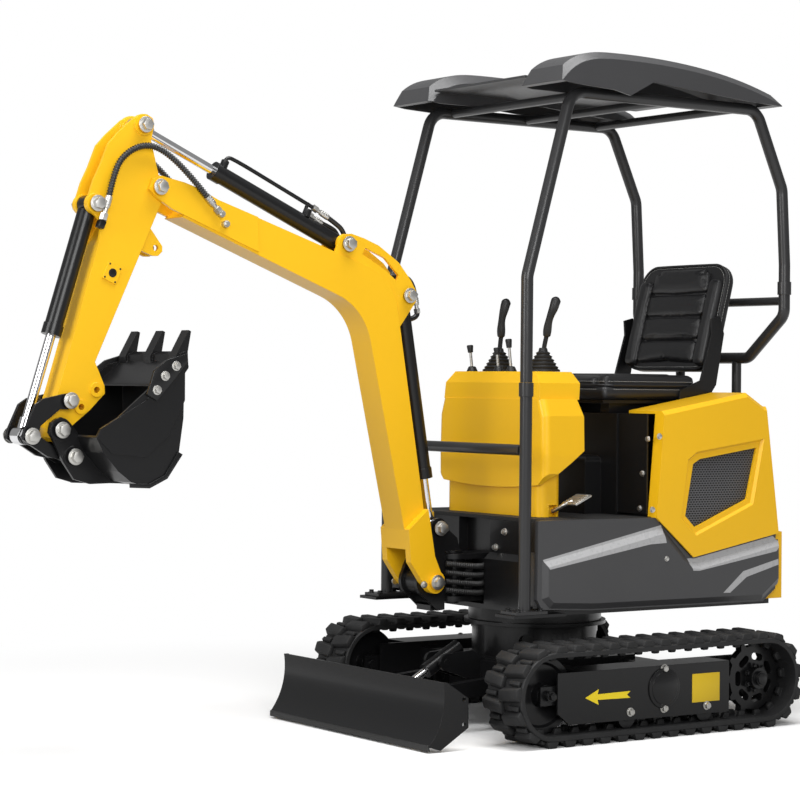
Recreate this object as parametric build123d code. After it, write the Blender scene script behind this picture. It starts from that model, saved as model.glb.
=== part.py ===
from build123d import *
from math import atan2, cos, degrees, hypot, pi, radians, sin
import os

# A small tracked excavator with a canopy, a swing bracket at the front and a dozer blade.
# The frame is in millimetres: origin on the ground under the slew axis, X to the front,
# Y to the machine's left and Z up. Every piece is drawn where it stands when parked.

# Tracks
TRACK_GAUGE = 990
TRACK_WIDTH = 180
LINK_PITCH = 72
LINK_COUNT = 37
PITCH_RADIUS = 133
BELT_OUTSIDE = 7
BELT_INSIDE = 9
LUG_HEIGHT = 20
LUG_FOOT = 50
LUG_TIP = 30
LUG_ROW_OVERLAP = 24
GUIDE_HEIGHT = 18
GUIDE_LENGTH = 34
GUIDE_WIDTH = 15
GUIDE_HALF_GAP = 18
RUNNING_GAP = 0.3
IDLER_X = 370
ROLLER_RADIUS = 35
ROLLER_PLACES = (50, -285)
SPROCKET_TEETH = 11
SPROCKET_SPOKES = 7
TREAD_HALF = 14

# Track frames
FRAME_PLATE = 8
FRAME_HALF = 65
FRAME_TOP = 232
FRAME_BOTTOM = 66
FRAME_FRONT = 345
FRAME_REAR = -385
YOKE_THICK = 10
AXLE_RADIUS = 15
MOTOR_RADIUS = 62
MOTOR_REACH = 46

# Carbody and slew ring
CAR_FRONT = 255
CAR_REAR = -330
CAR_HALF = 215
CAR_BOTTOM = 120
CAR_TOP = 225
LEG_PLACES = (120, -250)
LEG_WIDTH = 105
LEG_BOTTOM = 130
LEG_TOP = 212
DRUM_RADIUS = 215
FLANGE_RADIUS = 243
FLANGE_THICK = 12
SLEW_HEIGHT = 345
RING_RADIUS = 228
INSPECTION_HOLE = 28

# Dozer blade
BLADE_WIDTH = 932
BLADE_PIVOT = (300, 150)
BLADE_TOP = (722, 215)
BLADE_EDGE = (776, 20)
BLADE_BELLY = (727, 110)
BLADE_HEEL = (732, 6)
BLADE_PLATE = 9
BLADE_HOLES = ((643, 160), (643, 82))
BLADE_HOLE_RADIUS = 7
BLADE_ARM_HALF = 155
BLADE_ARM_THICK = 30
BLADE_EYE = (533, 146)
BLADE_TUBE_BACK = 640
BLADE_TUBE_LOW = 92
BLADE_TUBE_HIGH = 148
BLADE_TUBE_HALF = 215
BLADE_LUG_INNER = 26
BLADE_LUG_OUTER = 38
EAR_THICK = 12
TRUNNION_RADIUS = 12
TRUNNION = (405, 218)
TRUNNION_EAR_INNER = 36
BLADE_BARREL_RADIUS = 25
BLADE_ROD_RADIUS = 14

# House
DECK_BOTTOM = 395
DECK_THICK = 16
DECK_HALF = 400
TAIL_RADIUS = 850
BODY_HALF = 430
FLOOR_TOP = 705
FLOOR_THICK = 12
SKIN = 6
SKIRT_THICK = 28
SKIRT_RELIEF = 10
SKIRT_BEVEL = 58
TAIL_LEAN = 60
BUMPER_REACH = 24
RECESS_DEPTH = 9
RECESS_BACK = 12
RECESS_BEVEL = 42
MESH_PITCH = 25
MESH_WEB = 5.5
SKIRT_BOTTOM = 405
FRAME_FACE = 285
FRAME_FACE_UPPER = 262
FRAME_BACK = 100
KINGPOST_HALF = 87

# Swing post and bracket
SWING_X = 355
LUG_PLATE = 18
LOWER_LUG_TOP = 437
UPPER_LUG_TOP = 578
KNUCKLE_RADIUS = 45
SWING_PIN_RADIUS = 24
BRACKET_HALF = 52
BRACKET_PLATE = 14

# Pins of the working group, in the x-z plane
FOOT = (480, 490)
BOOM_CYLINDER_EYE = (447, 665)
BOOM_CHORD = 1626
BOOM_ANGLE = 50.1
ARM_LENGTH = 812
ARM_ANGLE = -66.3
BUCKET_ANGLE = 141.0
PIN_RADIUS = 14
HEAD_RADIUS = 19
HEAD_THICK = 11

# Boom, drawn from its foot pin with u along the chord and v above it
BOOM_HALF = 56
BOOM_CYLINDER_TOP = (787, 528)
ARM_CYLINDER_BASE = (1065, 445)
ELBOW_INSIDE_RADIUS = 205
ELBOW_OUTSIDE_RADIUS = 170
FORK_OUTSIDE = 82
FORK_INSIDE = 54
EAR_PLATE = 12
EAR_OUTSIDE = 50
TIP_INSIDE = 47
TIP_PLATE = 13

# Arm, drawn from the boom's tip pin with u along the arm and v to its front
ARM_HALF = 45
ARM_CHEEK = 12
ARM_CYLINDER_ROD = (-153, 121)
BUCKET_CYLINDER_BASE = (140, 168)
ROCKER_PIN = (720, 9)
THUMB_HOLE = (168, -79)
THUMB_BOSSES = ((651, -68), (719, -42))
THUMB_BORE = 9.5

# Bucket, drawn from its pivot pin with u towards the teeth and v towards its back
BUCKET_WIDTH = 376
BUCKET_LINK = (-16, 90)
BUCKET_WALL = 9
EAR_INNER_HALF = 50
TOOTH_COUNT = 3
TOOTH_WIDTH = 44

# Links of the bucket and its cylinder
ROCKER_LENGTH = 164
ROCKER_ANGLE = -40.3
ROCKER_INSIDE = 50
LINK_LENGTH = 153
LINK_ANGLE = 23.9
LINK_INSIDE = 30
LINK_PLATE = 12
EYE_HALF = 26
EYE_RADIUS = 27

# Hydraulic cylinders
BARREL_RADIUS = 28
ROD_RADIUS = 15
GLAND_RADIUS = 31
GLAND_LENGTH = 34
BORE_START = 70
ROD_SHARE = 0.55
ARM_BARREL_LENGTH = 524
BOOM_BARREL_LENGTH = 612
BUCKET_BARREL_LENGTH = 418
BLADE_BARREL_FRONT = 62
BLADE_BARREL_REAR = 92

# Hoses
HOSE_RADIUS = 9

# Canopy
POST_RADIUS = 20
COLLAR_RADIUS = 24
POST_HALF = 390
POST_X = 350
POST_BEND_HEIGHT = 1495
POST_JOINT_HEIGHT = 1150
RAIL_HEIGHT = 932
CANOPY_FRONT = (175, 2105)
CANOPY_REAR = (-650, 2105)
HOOP_BEND = (-775, 1836)
HOOP_X = -790
HOOP_JOINT_HEIGHT = 1513
HOOP_TOP_BAR = 1446
HOOP_CORNER_HEIGHT = 1396
HOOP_LOW_BAR = 1247
HOOP_LOW_HALF = 210
BAR_RADIUS = 15
BAR_PLACES = (90, -240, -570)
ROOF_HALF = 478
ROOF_SKIN = 8
ROOF_CENTRE_HALF = 262
ROOF_PANEL_HEIGHT = 2166

# Console, seat and controls
CONSOLE_FRONT = 200
CONSOLE_BACK = 33
CONSOLE_HALF = 302
CONSOLE_TOP = 1188
CONSOLE_STEP = 1096
CONSOLE_LIP = 798
CONSOLE_FOOT_HALF = 264
SEAT_BOX_FRONT = -165
SEAT_BOX_HALF = 232
SEAT_BOX_TOP = 1050
TUNNEL_HALF = 150
TUNNEL_TOP = 905
SEAT_WIDTH = 460
CUSHION_FRONT = -108
CUSHION_BACK = -548
CUSHION_BOTTOM = 1095
CUSHION_TOP = 1188
BACK_HEIGHT = 395
BACK_THICK = 78
BACK_TILT = 15
BACK_FOOT = (-548, 1210)
JOYSTICK_X = 70
JOYSTICK_HALF = 122
JOYSTICK_LEAN = {1: 62, -1: 30}

WHEELBASE = (LINK_PITCH * LINK_COUNT - 2 * pi * PITCH_RADIUS) / 2
SPROCKET_X = IDLER_X - WHEELBASE
AXLE_HEIGHT = PITCH_RADIUS + BELT_OUTSIDE + LUG_HEIGHT
BELT_INNER = PITCH_RADIUS - BELT_INSIDE
WHEEL_RADIUS = BELT_INNER - RUNNING_GAP
DECK_TOP = DECK_BOTTOM + DECK_THICK
HOSE_HALF = TIP_INSIDE + TIP_PLATE + HOSE_RADIUS + RUNNING_GAP
SIDES = {"left": 1, "right": -1}


def save(shape, name):
    """Writes one piece to its own file."""
    export_step(shape, f"parts/{name}.step")


def outline(points, rounding=None):
    """Face in the x-z plane. rounding maps a point's index to its fillet radius."""
    face = Plane.XZ * make_face(Polyline(*points, close=True))
    for index, radius in (rounding or {}).items():
        x, z = points[index]
        corner = face.vertices().sort_by_distance((x, 0, z))[0]
        face = fillet(corner, radius)
    return face


def slab(points, low, high, rounding=None):
    """Plate with its outline in the x-z plane and its faces at y = low and y = high."""
    return Pos(0, high, 0) * extrude(outline(points, rounding), high - low)


def both_sides(points, inner, outer, rounding=None):
    """The same plate on both sides of the centre plane."""
    return slab(points, inner, outer, rounding) + slab(points, -outer, -inner, rounding)


def across(point, radius, low, high):
    """Round bar along y through a point of the x-z plane."""
    x, z = point
    return Pos(x, (low + high) / 2, z) * Rot(90, 0, 0) * Cylinder(radius, high - low)


def block(x, y, z):
    """Box from its low and high value along each axis."""
    size = [high - low for low, high in (x, y, z)]
    middle = [(low + high) / 2 for low, high in (x, y, z)]
    return Pos(*middle) * Box(*size)


def upright(x, y, low, high, radius):
    return Pos(x, y, (low + high) / 2) * Cylinder(radius, high - low)


def placed(shape, origin, angle):
    """Moves a piece drawn about its own pin to its place on the machine."""
    x, z = origin
    return Pos(x, 0, z) * Rot(0, -angle, 0) * shape


def spot(origin, angle, point):
    """Where a point of a piece's own frame lies on the machine."""
    turn = radians(angle)
    u, v = point
    return (origin[0] + u * cos(turn) - v * sin(turn), origin[1] + u * sin(turn) + v * cos(turn))


def direction(start, end):
    return degrees(atan2(end[1] - start[1], end[0] - start[0]))


def distance(start, end):
    return hypot(end[0] - start[0], end[1] - start[1])


def tube(points, radius, bend):
    """Bent round bar through points of space."""
    path = FilletPolyline(*points, radius=bend)
    return sweep(Plane(origin=path @ 0, z_dir=path % 0) * Circle(radius), path)


def mirrored(shape):
    return mirror(shape, about=Plane.XZ)


BOOM_TIP = spot(FOOT, BOOM_ANGLE, (BOOM_CHORD, 0))
ARM_TIP = spot(BOOM_TIP, ARM_ANGLE, (ARM_LENGTH, 0))


# Undercarriage

def loop(radius):
    """Stadium round both wheels, in the x-z plane."""
    centre = (IDLER_X + SPROCKET_X) / 2
    shape = SlotCenterToCenter(WHEELBASE, 2 * radius)
    return Plane.XZ.offset(0) * Pos(centre, AXLE_HEIGHT) * shape


def on_pitch_line(travel):
    """Point of the belt's pitch line and the angle of its outward side."""
    arc = pi * PITCH_RADIUS
    if travel < WHEELBASE:
        return SPROCKET_X + travel, AXLE_HEIGHT + PITCH_RADIUS, 90
    travel -= WHEELBASE
    if travel < arc:
        turn = 90 - degrees(travel / PITCH_RADIUS)
        return arc_point(IDLER_X, turn)
    travel -= arc
    if travel < WHEELBASE:
        return IDLER_X - travel, AXLE_HEIGHT - PITCH_RADIUS, -90
    turn = -90 - degrees((travel - WHEELBASE) / PITCH_RADIUS)
    return arc_point(SPROCKET_X, turn)


def arc_point(centre, turn):
    a = radians(turn)
    return centre + PITCH_RADIUS * cos(a), AXLE_HEIGHT + PITCH_RADIUS * sin(a), turn


def belt_point(travel, offset):
    """Point of the x-z plane at a travel along the belt and an offset outward from its pitch line."""
    x, z, turn = on_pitch_line(travel % (LINK_PITCH * LINK_COUNT))
    a = radians(turn)
    return x + offset * cos(a), z + offset * sin(a)


def toothed(phase, base, tip, foot_half, tip_half):
    """Closed profile round the belt with one tooth for each link."""
    points = []
    for link in range(LINK_COUNT):
        middle = (link + phase) * LINK_PITCH
        points.append(belt_point(middle - foot_half, base))
        points.append(belt_point(middle - tip_half, tip))
        points.append(belt_point(middle + tip_half, tip))
        points.append(belt_point(middle + foot_half, base))
    return Plane.XZ * make_face(Polyline(*points, close=True))


def prism(face, low, high):
    return Pos(0, high, 0) * extrude(face, high - low)


def track():
    """Rubber belt with two staggered rows of lugs and two rows of guides inside."""
    half = TRACK_WIDTH / 2
    top = BELT_OUTSIDE + LUG_HEIGHT
    solid = None
    for phase, low, high in ((0, -half, LUG_ROW_OVERLAP / 2), (0.5, -LUG_ROW_OVERLAP / 2, half)):
        profile = toothed(phase, BELT_OUTSIDE, top, LUG_FOOT / 2, LUG_TIP / 2) - loop(BELT_INNER)
        row = prism(profile, low, high)
        solid = row if solid is None else solid + row
    depth = -BELT_INSIDE - GUIDE_HEIGHT
    tips = toothed(0.25, 2 - BELT_INSIDE, depth, GUIDE_LENGTH / 2, GUIDE_LENGTH / 3)
    guides = loop(BELT_INNER + 2) - tips
    near, far = GUIDE_HALF_GAP, GUIDE_HALF_GAP + GUIDE_WIDTH
    return solid + [prism(guides, near, far), prism(guides, -far, -near)]


def wheel(profile, x, height):
    """Turned piece: profile points are (distance along the axle, radius)."""
    face = make_face(Polyline(*profile, close=True))
    turned = revolve(face, Axis.X)
    return Pos(x, 0, height) * Rot(0, 0, 90) * turned


def idler():
    half_axle = FRAME_HALF - FRAME_PLATE - 1
    profile = [
        (-half_axle, 0), (-half_axle, AXLE_RADIUS), (-36, AXLE_RADIUS), (-36, 34), (-9, 40), (-9, 96),
        (-TREAD_HALF, 104), (-TREAD_HALF, WHEEL_RADIUS), (TREAD_HALF, WHEEL_RADIUS), (TREAD_HALF, 104),
        (9, 96), (9, 40), (36, 34), (36, AXLE_RADIUS), (half_axle, AXLE_RADIUS), (half_axle, 0),
    ]
    return wheel(profile, IDLER_X, AXLE_HEIGHT)


def rollers():
    reach = FRAME_HALF - FRAME_PLATE - RUNNING_GAP
    guide_side = GUIDE_HALF_GAP + GUIDE_WIDTH + 3
    height = AXLE_HEIGHT - BELT_INNER + RUNNING_GAP + ROLLER_RADIUS
    profile = [
        (-reach, 0), (-reach, 12), (-guide_side - 18, 12), (-guide_side - 18, ROLLER_RADIUS),
        (-guide_side, ROLLER_RADIUS), (-guide_side, 13), (guide_side, 13), (guide_side, ROLLER_RADIUS),
        (guide_side + 18, ROLLER_RADIUS), (guide_side + 18, 12), (reach, 12), (reach, 0),
    ]
    return Compound(children=[wheel(profile, x, height) for x in ROLLER_PLACES])


def sprocket():
    """Toothed ring with spoked disc, on the hub of the left side's travel motor."""
    root = WHEEL_RADIUS - 16
    tooth = Polygon((root - 6, -15), (WHEEL_RADIUS, -7), (WHEEL_RADIUS, 7), (root - 6, 15), align=None)
    teeth = [Rot(0, 0, 360 / SPROCKET_TEETH * index) * tooth for index in range(SPROCKET_TEETH)]
    ring = Circle(root) + teeth
    window = Pos(71, 0) * Rot(0, 0, 90) * SlotCenterToCenter(26, 24)
    ring -= [Rot(0, 0, 360 / SPROCKET_SPOKES * index) * window for index in range(SPROCKET_SPOKES)]
    disc = Pos(SPROCKET_X, TREAD_HALF, AXLE_HEIGHT) * extrude(Plane.XZ * ring, 2 * TREAD_HALF)
    axle = (SPROCKET_X, AXLE_HEIGHT)
    hub = across(axle, 44, -FRAME_HALF + FRAME_PLATE + RUNNING_GAP, 1) + across(axle, 36, 0, 44)
    return disc + hub + across(axle, 24, 43, 56)


def track_frame():
    """Channel beam over the left rollers, with the idler's yoke and the travel motor's seat."""
    plate = [
        (FRAME_FRONT, FRAME_TOP), (FRAME_FRONT, 104), (FRAME_FRONT - 48, FRAME_BOTTOM),
        (FRAME_REAR, FRAME_BOTTOM - 4), (FRAME_REAR, FRAME_TOP),
    ]
    inner_face = FRAME_HALF - FRAME_PLATE
    body = both_sides(plate, inner_face, FRAME_HALF)
    top_end = IDLER_X - WHEEL_RADIUS - 12
    body += block((FRAME_REAR, top_end), (-FRAME_HALF, FRAME_HALF), (FRAME_TOP - FRAME_PLATE, FRAME_TOP))
    body += block((150, 215), (-inner_face - 1, inner_face + 1), (125, 195))
    for turn in (1, -1):
        near, far = sorted((turn * 40, turn * (40 + YOKE_THICK)))
        arm = block((150, IDLER_X + 32), (near, far), (130, 190))
        body += arm - across((IDLER_X, AXLE_HEIGHT), AXLE_RADIUS + RUNNING_GAP, near - 1, far + 1)
    axle = (SPROCKET_X, AXLE_HEIGHT)
    seat = block((SPROCKET_X, FRAME_REAR + 20), (-FRAME_HALF, -inner_face), (80, FRAME_TOP))
    seat += across(axle, 76, -FRAME_HALF, -inner_face)
    motor = across(axle, MOTOR_RADIUS, -FRAME_HALF - MOTOR_REACH, -FRAME_HALF + 1)
    return body + seat + motor


def carbody():
    """Welded centre box with legs to both track frames and the slew drum."""
    plan = [
        (CAR_FRONT, 150), (CAR_FRONT - 60, CAR_HALF), (CAR_REAR + 60, CAR_HALF), (CAR_REAR, 140),
        (CAR_REAR, -140), (CAR_REAR + 60, -CAR_HALF), (CAR_FRONT - 60, -CAR_HALF), (CAR_FRONT, -150),
    ]
    body = Pos(0, 0, CAR_BOTTOM) * extrude(make_face(Polyline(*plan, close=True)), CAR_TOP - CAR_BOTTOM)
    reach = TRACK_GAUGE / 2 - FRAME_HALF
    for x in LEG_PLACES:
        body += block((x - LEG_WIDTH / 2, x + LEG_WIDTH / 2), (-reach, reach), (LEG_BOTTOM, LEG_TOP))
    drum_top = SLEW_HEIGHT - FLANGE_THICK
    drum = upright(0, 0, CAR_TOP, drum_top, DRUM_RADIUS)
    for turn in (45, 135, 225, 315):
        hole = Pos(DRUM_RADIUS, 0, (CAR_TOP + drum_top) / 2) * Rot(0, 90, 0) * Cylinder(INSPECTION_HOLE, 90)
        drum -= Rot(0, 0, turn) * hole
    return body + drum + upright(0, 0, drum_top, SLEW_HEIGHT, FLANGE_RADIUS)


def blade_mounts():
    """Ears for the blade's two arms and the two long ears that hold its cylinder."""
    x, z = BLADE_PIVOT
    foot = CAR_FRONT + RUNNING_GAP
    offset = BLADE_ARM_THICK / 2 + 1 + EAR_THICK / 2
    low_ears = []
    for middle in (BLADE_ARM_HALF - offset, BLADE_ARM_HALF + offset):
        low, high = middle - EAR_THICK / 2, middle + EAR_THICK / 2
        ear = block((foot, x), (low, high), (z - 28, z + 40)) + across(BLADE_PIVOT, 28, low, high)
        low_ears.append(bored(ear, BLADE_PIVOT))
    tx, tz = TRUNNION
    shape = [
        (foot, CAR_TOP - 5), (foot, z), (x + 20, z + 10), (tx + 5, tz - 26), (tx, tz + 28),
        (x, tz + 36), (foot, tz + 10),
    ]
    inner, outer = TRUNNION_EAR_INNER, TRUNNION_EAR_INNER + EAR_THICK
    ear = slab(shape, inner, outer) + across(TRUNNION, 28, inner, outer)
    low_ears.append(bored(ear, TRUNNION, TRUNNION_RADIUS))
    beam = block((foot, foot + EAR_THICK), (-BLADE_TUBE_HALF, BLADE_TUBE_HALF), (CAR_BOTTOM, CAR_TOP - 5))
    return beam + low_ears + [mirrored(ear) for ear in low_ears]


# Blade

def board_line(back):
    """The mouldboard's curve, moved back by a distance."""
    points = [(x - back, z) for x, z in (BLADE_TOP, BLADE_BELLY, BLADE_EDGE)]
    return ThreePointArc(*points)


def blade():
    """Curved mouldboard between its two end plates."""
    half = BLADE_WIDTH / 2
    front, back = board_line(0), board_line(BLADE_PLATE)
    ring = front + Line(front @ 1, back @ 1) + back + Line(back @ 0, front @ 0)
    board = Pos(0, half, 0) * extrude(Plane.XZ * make_face(ring), 2 * half)
    rim = Polyline(BLADE_EDGE, BLADE_HEEL, (625, 70), (626, 162), (708, BLADE_TOP[1]), BLADE_TOP)
    end = Plane.XZ * make_face(front + rim)
    for low in (half - BLADE_PLATE, -half):
        plate = prism(end, low, low + BLADE_PLATE)
        for hole in BLADE_HOLES:
            plate -= across(hole, BLADE_HOLE_RADIUS, low - 1, low + BLADE_PLATE + 1)
        board += plate
    return board


def blade_frame():
    """Push arms, cross tube and cylinder lugs, seated against the back of the mouldboard."""
    low, high = BLADE_TUBE_LOW, BLADE_TUBE_HIGH
    frame = block((BLADE_TUBE_BACK, BLADE_EDGE[0]), (-BLADE_TUBE_HALF, BLADE_TUBE_HALF), (low, high))
    back = board_line(BLADE_PLATE + RUNNING_GAP)
    reach = BLADE_EDGE[0] + 60
    space = back + Polyline(back @ 1, (reach, BLADE_EDGE[1]), (reach, BLADE_TOP[1]), back @ 0)
    frame -= Pos(0, BLADE_WIDTH / 2, 0) * extrude(Plane.XZ * make_face(space), BLADE_WIDTH)
    x, z = BLADE_PIVOT
    outer = BLADE_ARM_THICK / 2
    for middle in (BLADE_ARM_HALF, -BLADE_ARM_HALF):
        shape = [(x, z + 26), (BLADE_TUBE_BACK + 1, high), (BLADE_TUBE_BACK + 1, low), (x, z - 26)]
        frame += slab(shape, middle - outer, middle + outer)
        frame += across(BLADE_PIVOT, 26, middle - outer, middle + outer)
        frame += across(BLADE_PIVOT, PIN_RADIUS, middle - outer - EAR_THICK, middle + outer + EAR_THICK)
    ex, ez = BLADE_EYE
    lug = [(ex, ez + 24), (BLADE_TUBE_BACK + 1, high), (BLADE_TUBE_BACK + 1, low), (ex - 10, ez - 22)]
    for near, far in ((BLADE_LUG_INNER, BLADE_LUG_OUTER), (-BLADE_LUG_OUTER, -BLADE_LUG_INNER)):
        frame += slab(lug, near, far) + across(BLADE_EYE, 24, near, far)
    return frame + open_heads(BLADE_EYE, BLADE_LUG_INNER, BLADE_LUG_OUTER, TRUNNION_RADIUS)


def along(start, angle, near, far, radius):
    """Round bar in the centre plane, from near to far along a line."""
    x, z = spot(start, angle, ((near + far) / 2, 0))
    return Pos(x, 0, z) * Rot(0, 90 - angle, 0) * Cylinder(radius, far - near)


def cylinder_barrel(base, end, length, cheek):
    """Barrel with its base eye, pin, gland and closed end, drawn on its line of action."""
    angle = direction(base, end)
    barrel = along(base, angle, EYE_RADIUS - 6, length, BARREL_RADIUS)
    barrel += along(base, angle, length - GLAND_LENGTH, length, GLAND_RADIUS)
    barrel += across(base, EYE_RADIUS, -EYE_HALF, EYE_HALF)
    barrel -= along(base, angle, BORE_START, length + 1, ROD_RADIUS + RUNNING_GAP)
    return barrel + hinge_pin(base, cheek)


def cylinder_rod(base, end, length):
    """Polished rod that starts inside the barrel, with the eye at its end."""
    angle = direction(base, end)
    reach = distance(base, end)
    rod = along(base, angle, length * ROD_SHARE, reach - EYE_RADIUS + 6, ROD_RADIUS)
    rod += along(base, angle, reach - EYE_RADIUS - 26, reach - EYE_RADIUS + 6, ROD_RADIUS + 5)
    rod += across(end, EYE_RADIUS, -EYE_HALF, EYE_HALF)
    return rod - across(end, PIN_RADIUS, -60, 60)


def blade_barrel():
    angle = direction(TRUNNION, BLADE_EYE)
    body = along(TRUNNION, angle, -BLADE_BARREL_REAR, BLADE_BARREL_FRONT, BLADE_BARREL_RADIUS)
    body += across(TRUNNION, 12, -49, 49)
    return body - along(TRUNNION, angle, -60, BLADE_BARREL_FRONT + 1, BLADE_ROD_RADIUS + RUNNING_GAP)


def blade_rod():
    angle = direction(TRUNNION, BLADE_EYE)
    reach = distance(TRUNNION, BLADE_EYE)
    rod = along(TRUNNION, angle, -15, reach - 15, BLADE_ROD_RADIUS)
    return rod + across(BLADE_EYE, 21, -22, 22)


# House

def tail(radius, half):
    """Plan of the house: straight sides cut by the tail's arc."""
    return Circle(radius) & Rectangle(2 * TAIL_RADIUS + 100, 2 * half)


def in_plan(solid, radius, half):
    """Keeps what lies inside the plan of the house."""
    return solid & (Pos(0, 0, CAR_TOP) * extrude(tail(radius, half), FLOOR_TOP))


def house_frame():
    """Slewing deck with its ring, the front cross box, side walls and the swing post's lugs."""
    ring = upright(0, 0, SLEW_HEIGHT + RUNNING_GAP, DECK_BOTTOM, RING_RADIUS)
    deck = block((-800, FRAME_FACE), (-DECK_HALF, DECK_HALF), (DECK_BOTTOM, DECK_TOP))
    deck = in_plan(deck, TAIL_RADIUS - 30, DECK_HALF)
    low, high = DECK_TOP - 1, FLOOR_TOP - FLOOR_THICK
    face = [
        (FRAME_FACE, low), (FRAME_FACE, 562), (FRAME_FACE_UPPER, 583),
        (FRAME_FACE_UPPER, high), (FRAME_BACK, high), (FRAME_BACK, low),
    ]
    box = slab(face, KINGPOST_HALF, DECK_HALF - 12) + slab(face, -DECK_HALF + 12, -KINGPOST_HALF)
    box += block((FRAME_BACK, 225), (-KINGPOST_HALF, KINGPOST_HALF), (low, high))
    frame = ring + deck + box
    for side in (1, -1):
        near, far = sorted((side * (DECK_HALF - 12), side * DECK_HALF))
        frame += block((-640, FRAME_BACK + 60), (near, far), (low, high))
        y = side * POST_HALF
        frame += block((212, POST_X + 75), (y - 55, y + 45), (DECK_BOTTOM, DECK_BOTTOM + 10))
    for height in (LOWER_LUG_TOP, UPPER_LUG_TOP):
        lug = block((220, SWING_X), (-62, 62), (height - LUG_PLATE, height))
        lug += upright(SWING_X, 0, height - LUG_PLATE, height, 62)
        bore = SWING_PIN_RADIUS + RUNNING_GAP
        frame += lug - upright(SWING_X, 0, height - LUG_PLATE - 1, height + 1, bore)
    return frame


def floor_plate():
    """Operator's floor, cut away over the engine bay."""
    low = FLOOR_TOP - FLOOR_THICK + RUNNING_GAP
    plate = block((-640, FRAME_FACE_UPPER), (-DECK_HALF, DECK_HALF), (low, FLOOR_TOP))
    return plate - block((-641, SEAT_BOX_FRONT - 40), (-220, 220), (600, 800))


SKIRT_EDGE = [(318, FLOOR_TOP), (-176, 704), (-341, 567), (-742, 640)]
SKIRT_REAR = [(-800, 560), (-800, 520), (-747, 461), (-669, SKIRT_BOTTOM)]
SKIRT_PANEL = [
    (304, 572), (-208, 672), (-332, 553), (-372, 548), (-742, 618), (-798, 520), (-740, 464), (-664, 409),
    (98, 411), (270, 420), (304, 452),
]


def skirt():
    """Moulded lower side cover with a raised bevelled panel, from the front corner to the tail."""
    shape = SKIRT_EDGE + SKIRT_REAR + [(98, SKIRT_BOTTOM + 3), (300, 418), (320, 450)]
    inner, face = BODY_HALF - SKIRT_THICK, BODY_HALF - SKIRT_RELIEF
    base = in_plan(slab(shape, inner, face), TAIL_RADIUS - SKIRT_RELIEF, BODY_HALF)
    raised = Pos(0, 1 - face, 0) * extrude(outline(SKIRT_PANEL), SKIRT_RELIEF + 3, taper=SKIRT_BEVEL)
    base += in_plan(mirrored(raised), TAIL_RADIUS, BODY_HALF + 2)
    return base + slab([(316, 600), (316, 430), (296, 430), (296, 600)], inner - 40, inner + 1)


COVER_TOP = [(-207, 1060), (-585, 1124), (-665, 1078), (-900, 1060)]
COVER_FOOT = [(x, z + RUNNING_GAP) for x, z in SKIRT_EDGE[1:]] + [(-900, 645)]
FRONT_OPENING_HALF = 382
GRILLE = [(-343, 882), (-373, 898), (-634, 935), (-589, 758), (-353, 667), (-309, 707)]
RECESS = [(-314, 898), (-352, 923), (-662, 966), (-612, 740), (-352, 640), (-284, 700)]


def cover_body(inset):
    """Outside of the engine cover, or the space under its skin where the inset is the skin."""
    half = BODY_HALF - inset
    top = [(x, z - inset) for x, z in COVER_TOP]
    top[0] = (COVER_TOP[0][0] - inset, COVER_TOP[0][1] - inset)
    foot = [(COVER_FOOT[0][0] - inset, 500), (-900, 500)] if inset else COVER_FOOT
    solid = slab(top + list(reversed(foot)), -half, half)
    for side in (0, -1):
        face = solid.faces().sort_by(Axis.Y)[side]
        solid = chamfer(face.edges().filter_by(lambda edge: edge.center().Z > 1050), 14)
    low, high = 500, 1140
    slope = TAIL_LEAN / (high - COVER_FOOT[2][1])
    wide = TAIL_RADIUS - inset + slope * (COVER_FOOT[2][1] - low)
    return solid & (Pos(0, 0, (low + high) / 2) * Cone(wide, TAIL_RADIUS - inset - TAIL_LEAN, high - low))


def side_cover():
    """Left half of the cover: a hollow shell with a bevelled recess round its grille's window."""
    hollow = cover_body(SKIN) - slab(grown(RECESS), BODY_HALF - SKIN - RECESS_BACK, BODY_HALF)
    shell = cover_body(0) - hollow
    shell -= block((-260, -100), (-FRONT_OPENING_HALF, FRONT_OPENING_HALF), (500, 1050))
    shell -= block((-300, -100), (0, DECK_HALF + 1), (500, FLOOR_TOP + 1))
    shell &= block((-900, 0), (SEAT_BOX_HALF + 14, 500), (400, 1200))
    shell -= Pos(0, BODY_HALF, 0) * extrude(outline(RECESS), RECESS_DEPTH, taper=RECESS_BEVEL)
    return shell - slab(GRILLE, BODY_HALF - 40, BODY_HALF)


def rear_hood():
    """Middle of the cover, behind the seat."""
    half = SEAT_BOX_HALF + 14 - RUNNING_GAP
    return (cover_body(0) - cover_body(SKIN)) & block((-900, -744), (-half, half), (400, 1200))


def grown(points, factor=1.08):
    """The same outline, larger about its middle."""
    cx = sum(x for x, z in points) / len(points)
    cz = sum(z for x, z in points) / len(points)
    return [(cx + (x - cx) * factor, cz + (z - cz) * factor) for x, z in points]


def grille():
    """Pierced plate behind the window of the side cover."""
    high = BODY_HALF - SKIN - RECESS_BACK - RUNNING_GAP
    low = high - 4
    frame = slab(grown(GRILLE), low, high) - slab(GRILLE, low - 1, high + 1)
    bars = []
    count = round(280 / MESH_PITCH)
    for step in range(-count, count + 1):
        for turn in (35, -35):
            bars.append(Pos(-460 + MESH_PITCH * step, 800) * Rot(0, 0, turn) * Rectangle(MESH_WEB, 520))
    lattice = (Plane.XZ * (bars[0] + bars[1:])) & outline(grown(GRILLE, 1.02))
    return frame + prism(lattice, low, high)


def counterweight():
    """Cast weight across the tail, which stands out behind the lower covers."""
    foot = DECK_TOP + RUNNING_GAP
    shape = [(-690, foot), (-690, 627), (-742, 640), (-900, 645 - RUNNING_GAP), (-900, 450), (-800, foot)]
    half = BODY_HALF - SKIRT_THICK - 3
    return in_plan(slab(shape, -half, half), TAIL_RADIUS + BUMPER_REACH, half)


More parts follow.
